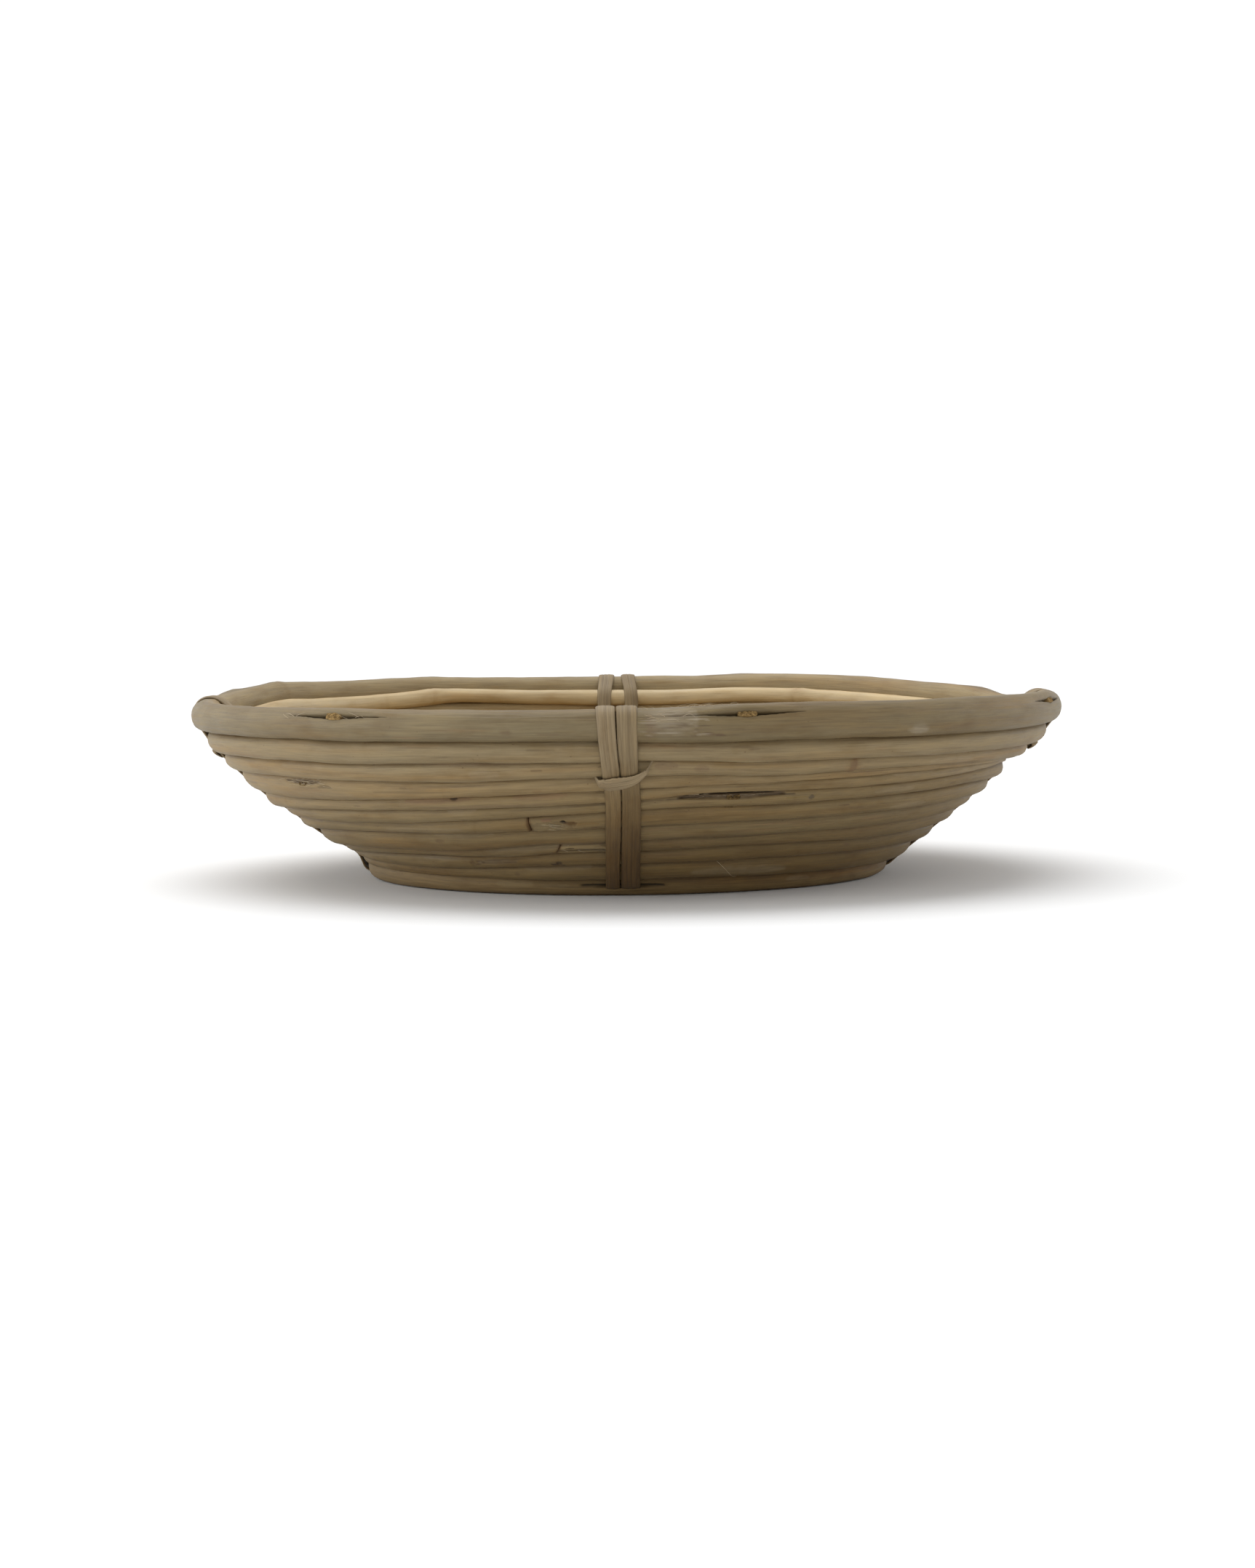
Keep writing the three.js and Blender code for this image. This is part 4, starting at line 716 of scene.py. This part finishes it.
def belt(name, azA, azB, under, over, lateral, along_x, seed, *nodes):
    path, zone = [], []
    for az, s in ((azA, 1), (azB, -1)):
        up, down = outer_path(az, under), inner_path(az, over)
        pts = np.vstack([up, down[1:]])
        zz = ['out'] * len(up) + ['in'] * (len(down) - 1)
        pts = pts * [s, 1]
        if s == 1:
            a0 = np.array([[0.3, under]])
            path += [a0, pts]
            zone += ['under'] + [(x, 'A') for x in zz]
        else:
            path += [pts[::-1], np.array([[-0.3, under]])]
            zone += [(x, 'B') for x in zz[::-1]] + ['under']
    P = np.vstack(path)
    rest = [under] + [None] * (len(P) - 2) + [under]
    # dense everywhere
    d = np.r_[0, np.cumsum(np.hypot(*np.diff(P, axis=0).T))]
    c, w = np.empty(len(P)), np.empty(len(P))
    for i, (p, zn) in enumerate(zip(P, zone)):
        c[i], w[i] = lateral('under', 'A' if p[0] > 0 else 'B', 5.0) if zn == 'under' else lateral(zn[0], zn[1], p[1])
    q = np.arange(0, d[-1], 0.9)
    P = np.stack([np.interp(q, d, P[:, 0]), np.interp(q, d, P[:, 1])], -1)
    c, w = blur(np.interp(q, d, c), 7), blur(np.interp(q, d, w), 7)
    P = np.stack([blur(P[:, 0], 1.6), blur(P[:, 1], 1.6)], -1)
    n = len(q)
    T = np.gradient(P, axis=0)
    T /= np.linalg.norm(T, axis=1)[:, None] + 1e-9
    N = np.stack([T[:, 1], -T[:, 0]], -1)                 # away from the rods
    side = np.sign(np.median(N[(P[:, 1] > 30) & (P[:, 0] > 0) & (np.gradient(P[:, 1]) > 0)][:, 0]))
    N = N * side
    lift = 0.12 + BAND_T / 2
    m2 = 40
    u = np.sin(np.linspace(-np.pi / 2, np.pi / 2, m2) * 0.999)
    u = np.sign(u) * (0.35 * np.abs(u) + 0.65 * np.abs(np.linspace(-1, 1, m2)))
    hgt = BAND_T / 2 * np.sqrt(np.clip(1 - np.abs(u) ** 7, 0, 1))
    ub = u[::-1][1:-1]
    hb = -BAND_T / 2 * np.sqrt(np.clip(1 - np.abs(ub) ** 7, 0, 1))
    U, H = np.r_[u, ub], np.r_[hgt, hb]
    m = len(U)
    S = q[:, None]
    W = w[:, None] / 2 * (1 + 0.035 * fbm(S / 13.0, 2.0, seed=seed, octaves=2))
    lat = W * U[None]
    crown = 0.28 * (1 - U[None] ** 2)
    gr = 0.10 * fbm(S / 60.0, lat * 1.15, seed=seed + 1, octaves=3) + 0.05 * vnoise(S / 35.0, lat * 4.6, seed=seed + 2)
    cx = 0.10 + 0.12 * vnoise(S / 90.0, 4.0, seed=seed + 3)
    crease = -0.16 * bell(U[None], cx, 0.06) * smooth(-0.5, 0.5, vnoise(S / 34.0, 1.0, seed=seed + 6)) - 0.06 * bell(U[None], cx - 0.45, 0.05) - 0.05 * bell(U[None], cx + 0.5, 0.05)
    hh = lift + H[None] + np.where(np.r_[np.ones(m2), np.zeros(m - m2)][None] > 0, crown + gr + crease, 0)
    Lt = c[:, None] + lat
    X = P[:, 0][:, None] + N[:, 0][:, None] * hh
    round_ = smooth(118, 140, np.abs(P[:, 0]))[:, None]
    X = X - np.sign(X) * round_ * Lt ** 2 / (2 * np.maximum(np.abs(X), 60))
    Z = P[:, 1][:, None] + N[:, 1][:, None] * hh
    V = np.stack([X, Lt, Z] if along_x else [Lt, -X, Z], -1).reshape(-1, 3)
    tint = np.ones((n, m, 3)) * CANE_C * (np.array([0.87, 0.85, 0.80]) if seed == 102 else 1.0)
    # the bands' outer runs are painted darker towards the bottom, most on the front and back bands: painted shade,
    # partly dirt
    low = (1 - smooth(15, 62, P[:, 1])) * (np.abs(P[:, 0]) > 128)
    tint = tint * (1 - (0.12 if along_x else 0.46) * low[:, None, None] * np.array([0.85, 1.05, 1.35]))
    # and darker again from below the rim downwards: painted shade
    lower_wall_shade = 1 - smooth(46, 76, P[:, 1])
    tint = tint * (1 - lower_wall_shade[:, None, None] * np.array([0.16, 0.24, 0.40]) * (np.abs(P[:, 0]) > 128)[:, None, None])
    tint = tint * (1 + 0.10 * fbm(S / 50.0, lat * 0.25, seed=seed + 4))[..., None]
    tint = tint * (1 - 0.28 * (bell(U[None], cx, 0.05) * smooth(-0.6, 0.5, vnoise(S / 30.0, 1.0, seed=seed + 6)))[..., None] * np.array([0.9, 1, 1.1]))
    tint = tint * (1 - 0.22 * smooth(0.86, 1.0, np.abs(U[None]))[..., None])
    for j in range(15):
        uu = -0.9 + 1.8 * j / 14 + 0.05 * vnoise(S / 40.0, j * 3.0, seed=seed + 8)
        tint = tint * (1 + (0.10 if j % 2 else -0.13) * bell(U[None], uu, 0.032)[..., None] * smooth(-0.3, 0.4, vnoise(S / 26.0, j * 5.0, seed=seed + 9))[..., None])
    co = np.stack([S + 0 * lat + seed * 131, lat, hh + 0 * lat], -1).reshape(-1, 3)
    V = np.vstack([V, V[:m].mean(0), V[-m:].mean(0)])
    co = np.vstack([co, co[0], co[-1]])
    T3 = tint.reshape(-1, 3)
    ob = write_mesh(name, V, tube_faces(n, m), co, np.vstack([T3, T3[0], T3[-1]]))
    fix_winding(ob)
    return dress(ob, MAT_CANE, "split_cane", *nodes)

def table(rows):
    z = np.array([r[0] for r in rows][::-1], float)
    a = np.array([r[1] for r in rows][::-1], float)
    b = np.array([r[2] for r in rows][::-1], float)
    return lambda q: (float(np.interp(q, z, a)), float(np.interp(q, z, b)))

FL = table([(94, -9.6, 9.1), (77, -8.4, 8.0), (64, -7.2, 8.2), (50, -6.1, 7.3), (12, -7.1, 6.9)])
FR = table([(94, 0.2, 9.8), (77, 0.5, 9.2), (64, 1.4, 8.2), (50, 2.2, 8.7), (12, 1.4, 9.3)])
BL = table([(96, -11.0, 9.5), (86, -13.2, 7.7), (60, -11.6, 7.8), (12, -8.4, 7.4)])
BR = table([(96, 0.8, 8.2), (86, 3.6, 7.7), (60, 2.6, 7.8), (12, 1.2, 8.4)])
belt("band_front_back_left_cane", 0, 180, 4.7, 15.7,
     lambda kind, end, z: (FL(z) if end == 'A' else BL(z)), False, 101, "band_front_back_left")
belt("band_front_back_right_cane", 0, 180, 4.7, 15.7,
     lambda kind, end, z: (FR(z) if end == 'A' else BR(z)), False, 102, "band_front_back_right")
SF = table([(94, 3.4, 8.6), (70, 4.9, 8.0), (12, 4.7, 8.2)])
SB = table([(94, 12.7, 8.8), (70, 13.7, 8.0), (12, 13.4, 8.2)])
SF2 = table([(94, 3.4, 8.4), (70, 4.6, 8.0), (12, 4.6, 8.2)])
SB2 = table([(94, 12.5, 8.8), (70, 13.5, 8.2), (12, 13.4, 8.2)])
belt("band_side_front_cane", 90, -90, 2.9, 17.5,
     lambda kind, end, z: (SF2(z) if end == 'A' else SF(z)), True, 103, "band_side_front")
belt("band_side_back_cane", 90, -90, 2.9, 17.5,
     lambda kind, end, z: (SB2(z) if end == 'A' else SB(z)), True, 104, "band_side_back")

# ------------------------------------------------------------------ ties
def tie(name, az, zl, zm, zr, x0, x1, tall, seed, node):
    """A sliver of cane across a pair of bands; its two tips are tucked into the wall."""
    P = outer_path(az, 4.7 if az % 180 == 0 else 2.9)
    d = np.gradient(P, axis=0)
    d /= np.linalg.norm(d, axis=1)[:, None]
    n = 90
    t = np.linspace(-1, 1, n)
    x = (x0 + x1) / 2 + (x1 - x0) / 2 * t
    zc = np.interp(t, [-1, -0.45, 0.45, 1], [zl, zm + 0.35 * (zl - zm) * 0.4, zm + 0.35 * (zr - zm) * 0.4, zr])
    zc = blur(zc, 7)
    tp = -0.30                                        # fullest left of the middle
    tt_ = np.where(t < tp, (t - tp) / (1 + tp), (t - tp) / (1 - tp))
    hw = tall / 2 * (np.clip(1 - np.abs(tt_) ** 1.7, 0, 1)) ** 0.8 + 0.35
    zc = zc - hw * 0.75                                # the upper edge runs straight, the lower bulges
    lift = -2.4 + (2.1 + 2.4) * smooth(0, 0.24, 1 - np.abs(t))
    lift = lift + 0.35 * (1 - t ** 2)
    m2 = 14
    u = np.cos(np.linspace(np.pi, 0, m2))
    hg = 0.5 * np.sqrt(np.clip(1 - np.abs(u) ** 5, 0, 1))
    U, H = np.r_[u, u[::-1][1:-1]], np.r_[hg, -hg[::-1][1:-1]]
    m = len(U)
    V = np.empty((n, m, 3)); co = np.empty((n, m, 3))
    out = np.array([math.sin(math.radians(az)), -math.cos(math.radians(az))])
    sd = np.array([math.cos(math.radians(az)), math.sin(math.radians(az))])
    sarc = np.r_[0, np.cumsum(np.hypot(*np.diff(P, axis=0).T))]
    for i in range(n):
        j = int(np.argmin(np.abs(P[:, 1] - zc[i])))
        tt = d[j]
        nn = np.array([tt[1], -tt[0]])
        for k in range(m):
            along = hw[i] * U[k]
            lf = lift[i] + H[k] + (0.18 * (1 - U[k] ** 2) if H[k] > 0 else 0)
            lf += 0.07 * math.sin(U[k] * 9 + seed) if H[k] > 0 else 0
            r = P[j, 0] + tt[0] * along + nn[0] * lf - x[i] ** 2 / (2 * P[j, 0]) * (1.0 if abs(t[i]) > 0.7 else 0.4)
            z = P[j, 1] + tt[1] * along + nn[1] * lf
            xy = out * r + sd * x[i]
            V[i, k] = (xy[0], xy[1], z)
            co[i, k] = (x[i] + seed * 77, along, lf)
    tint = np.ones((n, m, 3)) * CANE_C * 1.12
    tint = tint * (1 + 0.12 * fbm(x[:, None] / 14.0, U[None] * 2.2, seed=seed))[..., None]
    # the tips are painted darker where they go in under the rods: painted shade
    tint = tint * (1 - 0.3 * smooth(0.75, 1.0, np.abs(t))[:, None, None])
    ob = write_mesh(name, np.vstack([V.reshape(-1, 3), V[0].mean(0), V[-1].mean(0)]), tube_faces(n, m),
                    np.vstack([co.reshape(-1, 3), co[0, 0], co[-1, 0]]), np.vstack([tint.reshape(-1, 3), tint[0, 0], tint[-1, 0]]))
    fix_winding(ob)
    dress(ob, MAT_CANE, "split_cane", node)
tie("tie_front_cane", 0, 61.0, 63.2, 68.3, -15.6, 12.2, 8.4, 111, "tie_front")
tie("tie_back_cane", 180, 61.5, 64.0, 67.0, -8.5, 18.0, 5.8, 112, "tie_back")
tie("tie_right_cane", 90, 67.5, 68.2, 66.5, -5.0, 20.5, 5.6, 113, "tie_right")
tie("tie_left_cane", 270, 66.5, 67.8, 67.5, -20.0, 5.5, 5.6, 114, "tie_left")

# ------------------------------------------------------------------ pegs
PEG_BASE = (0.36, 0.235, 0.095)
def peg(name, az, A, B, width, thick, seed, node, shade=1.0):
    """Flat bar between two points of the section plane, its ends sawn and fibrous."""
    A, B = np.array(A, float), np.array(B, float)
    L = np.linalg.norm(B - A)
    u = (B - A) / L
    v = np.array([-u[1], u[0]])
    n, m = 34, 44
    ph = np.linspace(0, 2 * np.pi, m, endpoint=False)
    px, py = width / 2 * signed_pow(np.cos(ph), 2 / 5.0), thick / 2 * signed_pow(np.sin(ph), 2 / 5.0)
    lobe = 1 + 0.07 * fbm(np.cos(ph) * 2, np.sin(ph) * 2, seed=seed)
    px, py = px * lobe, py * lobe
    out = np.array([math.sin(math.radians(az)), -math.cos(math.radians(az))])
    sd = np.array([math.cos(math.radians(az)), math.sin(math.radians(az))])
    rings, cos_, tints = [], [], []
    base = np.array(PEG_BASE) * shade
    def ring(t, k, rough):
        X, Y = px * k, py * k
        e = t + rough * (0.38 * vnoise(X * 1.6, Y * 1.6, seed=seed + 1) + 0.28 * vnoise(X * 3.9, Y * 3.9, seed=seed + 2))
        r = A[0] + u[0] * e + v[0] * Y
        z = A[1] + u[1] * e + v[1] * Y
        xy = out[None] * r[:, None] + sd[None] * X[:, None]
        rings.append(np.c_[xy, z]); cos_.append(np.c_[e * 3 + seed, X, Y])
        f = 0.5 + 0.5 * vnoise(X * 3.2, Y * 3.2, seed=seed + 3)
        g = 0.5 + 0.5 * vnoise(X * 1.1, Y * 1.1, seed=seed + 4)
        c = base[None] * (0.45 + 0.75 * f)[:, None] * (0.85 + 0.35 * g)[:, None] if rough else base[None] * (0.7 + 0.3 * f)[:, None]
        tints.append(c)
    for k in np.linspace(0.06, 0.97, 11):
        ring(0.0, k, 1.0)
    for t in np.linspace(0.15, L - 0.15, n - 20):
        ring(t, 1.0, 0.0)
    for k in np.linspace(0.97, 0.06, 9):
        ring(L, k, 1.0)
    V = np.vstack(rings)
    V = np.vstack([V, rings[0].mean(0), rings[-1].mean(0)])
    co = np.vstack(cos_)
    T = np.vstack(tints)
    ob = write_mesh(name, V, tube_faces(len(rings), m), np.vstack([co, co[0], co[-1]]), np.vstack([T, T[0], T[-1]]))
    fix_winding(ob)
    dress(ob, MAT_PEG, "peg", node)

for q, nm, i in zip(PEGS, PEG_NAMES, range(9)):
    a = np.array([q])
    r, z, tr, tz, h, th = (float(np.broadcast_to(x, (1,))[0]) for x in rim_section(a))
    c30, s30 = math.cos(math.radians(30)), math.sin(math.radians(30))
    A = (r + (th + 0.15) * c30, z + (h + 0.75) * s30)
    B = (r - 11.5 * c30, z - 9.2 * s30)
    if True:
        peg("rim_peg_%s_wood" % nm, q, A, B, 8.8, 3.3, 120 + i, "rim_peg_" + nm, 0.85)
for (q, k), nm, i in zip(WALL_PEGS, WALL_PEG_NAMES, range(9)):
    a = np.array([q])
    r, z, tr, tz, h, th = (float(np.broadcast_to(x, (1,))[0]) for x in wall_section(k, a))
    r2, z2 = (float(np.broadcast_to(x, (1,))[0]) for x in wall_section(k + 2, a)[:2])
    A = (r + tr * h * 0.62 + tz * th * 0.66, z + tz * h * 0.62 - tr * th * 0.66)
    peg("wall_peg_%s_wood" % nm, q, A, (r2, z2), 6.6, 2.6, 140 + i, "wall_peg_" + nm, 0.5)

# ------------------------------------------------------------------ fibres
def fibres(name, specs, owner_node=None):
    """Fine hairs of torn wood: each spec is a list of points (mm) and a radius."""
    V, F, C, T = [], [], [], []
    m = 6
    for pts, rad, col in specs:
        pts = np.asarray(pts, float)
        t = np.linspace(0, 1, 14)
        k = np.linspace(0, 1, len(pts))
        P = np.stack([np.interp(t, k, pts[:, j]) for j in range(3)], -1)
        for j in range(3):
            P[1:-1, j] = (P[:-2, j] + 2 * P[1:-1, j] + P[2:, j]) / 4
        d = np.gradient(P, axis=0)
        d /= np.linalg.norm(d, axis=1)[:, None] + 1e-9
        a = np.cross(d, [0.3, 0.2, 0.93]); a /= np.linalg.norm(a, axis=1)[:, None] + 1e-9
        b = np.cross(d, a)
        base_i = sum(len(x) for x in V)
        rr = rad * (1 - 0.7 * t)
        ring = []
        for q in np.linspace(0, 2 * np.pi, m, endpoint=False):
            ring.append(P + (a * math.cos(q) + b * math.sin(q)) * rr[:, None])
        R = np.stack(ring, 1).reshape(-1, 3)
        R = np.vstack([R, P[0], P[-1]])
        V.append(R); C.append(R); T.append(np.ones((len(R), 3)) * col)
        F += tube_faces(14, m, base=base_i)
    ob = write_mesh(name, np.vstack(V), F, np.vstack(C), np.vstack(T))
    fix_winding(ob)
    return ob

def on_rim(az, phi, lift=0.0):
    a = np.array([float(az)])
    r, z, tr, tz, h, th = (float(np.broadcast_to(x, (1,))[0]) for x in rim_section(a))
    p = math.radians(phi)
    rr, zz = r + (th + lift) * math.sin(p), z + (h + lift) * math.cos(p)
    t = math.radians(az)
    return (rr * math.sin(t), -rr * math.cos(t), zz)

def on_wall(k, az, phi, lift=0.0):
    a = np.array([float(az)])
    r, z, tr, tz, h, th = (float(np.broadcast_to(x, (1,))[0]) for x in wall_section(k, a))
    p = math.radians(phi)
    ot, on = (h + lift) * math.cos(p), (th + lift) * math.sin(p)
    rr, zz = r + ot * tr + on * tz, z + ot * tz - on * tr
    t = math.radians(az)
    return (rr * math.sin(t), -rr * math.cos(t), zz)

rng = np.random.default_rng(901)
wall_spec = [([on_wall(10, 16.8, 30, 0.1), on_wall(10, 18.4, 60, 1.6), on_wall(10, 20.2, 92, 2.0), on_wall(10, 21.9, 122, 0.6)], 0.10, np.array([0.55, 0.45, 0.30]))]
for _ in range(26):                                # the torn slot of the third wall rod
    q, p = rng.uniform(-57, -46), 42 + rng.normal(0, 7)
    ln = rng.uniform(1.2, 4.5) * rng.choice([-1, 1])
    wall_spec.append(([on_wall(3, q, p, -0.8), on_wall(3, q + ln * 0.5, p + rng.normal(0, 4), rng.uniform(-0.2, 0.6)), on_wall(3, q + ln, p + rng.normal(0, 7), rng.uniform(0.0, 1.0))],
                      rng.uniform(0.07, 0.15), np.array([0.50, 0.40, 0.26]) * rng.uniform(0.6, 1.1)))
for _ in range(18):                                # porous fibres in the split below the fourth
    q, p = rng.uniform(9.5, 20.5), 30 + rng.normal(0, 7)
    ln = rng.uniform(0.5, 2.2) * rng.choice([-1, 1])
    wall_spec.append(([on_wall(5, q, p, -1.2), on_wall(5, q + ln, p + rng.normal(0, 4), rng.uniform(-0.7, 0.1))],
                      rng.uniform(0.06, 0.12), np.array([0.42, 0.33, 0.21]) * rng.uniform(0.6, 1.1)))
for _ in range(14):                                # splinters in the cut ends of rods 6 and 8
    k_ = int(rng.choice([6, 8]))
    q = rng.uniform(-14.4, -10.6) if k_ == 6 else rng.uniform(-11.6, -5.5)
    p = rng.uniform(45, 125)
    ln = rng.uniform(0.8, 2.6)
    wall_spec.append(([on_wall(k_, q, p, -1.5), on_wall(k_, q + ln * 0.5, p, rng.uniform(-0.9, -0.4)), on_wall(k_, q + ln, p + rng.normal(0, 4), rng.uniform(-0.8, 0.2))],
                      rng.uniform(0.08, 0.18), np.array([0.50, 0.41, 0.27]) * rng.uniform(0.6, 1.1)))
wf = fibres("wall_torn_fibres", wall_spec)
dress(wf, MAT_WALL, "wall_rod")

rng = np.random.default_rng(900)
spec = []
for az, phi, n_, spread in ((6.2, 12, 9, 2.0), (11.0, 18, 9, 2.4), (8.6, 25, 6, 2.0), (-44.0, 62, 3, 1.0), (-34.0, 62, 3, 1.0), (3.4, 60, 5, 1.0), (4.6, 75, 4, 1.2)):
    for _ in range(n_):
        q, p = az + rng.normal(0, spread), phi + rng.normal(0, 6)
        ln, up = rng.uniform(0.5, 1.8) * rng.choice([-1, 1]), rng.uniform(0.15, 1.1)
        pts = [on_rim(q, p, -0.3), on_rim(q + ln * 0.3, p - 4, up * 0.6), on_rim(q + ln * 0.65, p - 7, up), on_rim(q + ln, p - 8 + rng.normal(0, 5), up * rng.uniform(0.7, 1.4))]
        spec.append((pts, rng.uniform(0.05, 0.11), np.array([0.62, 0.50, 0.34]) * rng.uniform(0.7, 1.05)))
fz = fibres("rim_torn_fibres", spec)
dress(fz, MAT_RIM, "rim_rod")

# ------------------------------------------------------------------ floor, lights, camera
bpy.ops.mesh.primitive_circle_add(vertices=128, radius=24, fill_type='NGON', location=(0, 0, -0.0002))
floor = bpy.context.object
floor.name = "floor"
fm = bpy.data.materials.new("floor_paper")
fm.use_nodes = True
fb = fm.node_tree.nodes["Principled BSDF"]
fb.inputs['Base Color'].default_value = (0.82, 0.82, 0.82, 1)
fb.inputs['Roughness'].default_value = 0.9
fb.inputs['Specular IOR Level'].default_value = 0.1
floor.data.materials.append(fm)

RING_FRONT, RING_BACK, CEILING, SUN = 1.0, 1.08, 0.72, 1.75
sc = bpy.context.scene
sc.view_settings.view_transform = 'Standard'
sc.view_settings.look = 'None'
sc.view_settings.exposure = 0.0
sc.view_settings.gamma = 1.0
world = bpy.data.worlds.new("studio")
sc.world = world
world.use_nodes = True
wn = world.node_tree
bg = wn.nodes["Background"]
bg.inputs[0].default_value = (1, 1, 1, 1)
tc = wn.nodes.new('ShaderNodeTexCoord')
sx = wn.nodes.new('ShaderNodeSeparateXYZ')
wn.links.new(tc.outputs['Generated'], sx.inputs[0])
def w_range(src, a0, a1, b0, b1):
    r_ = wn.nodes.new('ShaderNodeMapRange')
    r_.interpolation_type = 'SMOOTHSTEP'
    for nm_, v_ in (('From Min', a0), ('From Max', a1), ('To Min', b0), ('To Max', b1)):
        r_.inputs[nm_].default_value = v_
    wn.links.new(src, r_.inputs['Value'])
    return r_.outputs[0]
# a white band round the horizon, brightest behind the object, and a dimmer ceiling
horizon = w_range(sx.outputs['Z'], 0.22, 0.42, 1.0, 0.0)
behind = w_range(sx.outputs['Y'], -0.35, 0.45, RING_FRONT, RING_BACK)
m1 = wn.nodes.new('ShaderNodeMath'); m1.operation = 'SUBTRACT'
wn.links.new(behind, m1.inputs[0]); m1.inputs[1].default_value = CEILING
m2_ = wn.nodes.new('ShaderNodeMath'); m2_.operation = 'MULTIPLY_ADD'
wn.links.new(horizon, m2_.inputs[0]); wn.links.new(m1.outputs[0], m2_.inputs[1]); m2_.inputs[2].default_value = CEILING
wn.links.new(m2_.outputs[0], bg.inputs[1])

def area(name, loc, target, size, power, colour=(1, 1, 1), size_y=None):
    li = bpy.data.lights.new(name, 'AREA')
    li.energy, li.color, li.size = power, colour, size
    if size_y:
        li.shape, li.size_y = 'RECTANGLE', size_y
    ob = bpy.data.objects.new(name, li)
    ob.location = loc
    ob.rotation_euler = (Vector(target) - Vector(loc)).to_track_quat('-Z', 'Y').to_euler()
    sc.collection.objects.link(ob)
    return ob
LIGHTS = [
    ("left", (-2.1, -0.5, 0.55), (0, 0, 0.05), 1.1, 15, (0.93, 0.97, 1.0)),
    ("left_back", (-2.0, 0.9, 0.9), (0, 0, 0.05), 1.2, 6, (0.92, 0.965, 1.0)),
    ("right", (2.0, 0.9, 0.9), (0, 0, 0.05), 1.2, 8, (0.93, 0.97, 1.0)),
]
for a in LIGHTS:
    area(*a)
sl = bpy.data.lights.new("sky_soft", 'SUN')
sl.energy, sl.angle = SUN, math.radians(60)
so = bpy.data.objects.new("sky_soft", sl)
so.rotation_euler = (math.radians(-14), math.radians(-10), 0)
sc.collection.objects.link(so)

def camera(loc, pitch, roll, lens):
    ca = bpy.data.cameras.new("camera")
    ca.lens, ca.sensor_width, ca.sensor_fit = lens, 36, 'AUTO'
    ca.clip_start, ca.clip_end = 0.05, 200
    ob = bpy.data.objects.new("camera", ca)
    ph, ro = math.radians(pitch), math.radians(roll)
    fwd = Vector((0, math.cos(ph), -math.sin(ph)))
    up = Vector((0, math.sin(ph), math.cos(ph)))
    right = Vector((1, 0, 0))
    r2 = right * math.cos(ro) - up * math.sin(ro)
    u2 = up * math.cos(ro) + right * math.sin(ro)
    ob.matrix_world = Matrix(((r2.x, u2.x, -fwd.x, loc[0]), (r2.y, u2.y, -fwd.y, loc[1]), (r2.z, u2.z, -fwd.z, loc[2]), (0, 0, 0, 1)))
    sc.collection.objects.link(ob)
    sc.camera = ob
camera((0.00038, -1.620, 0.141), 3.3606, 0.6, 71.37)
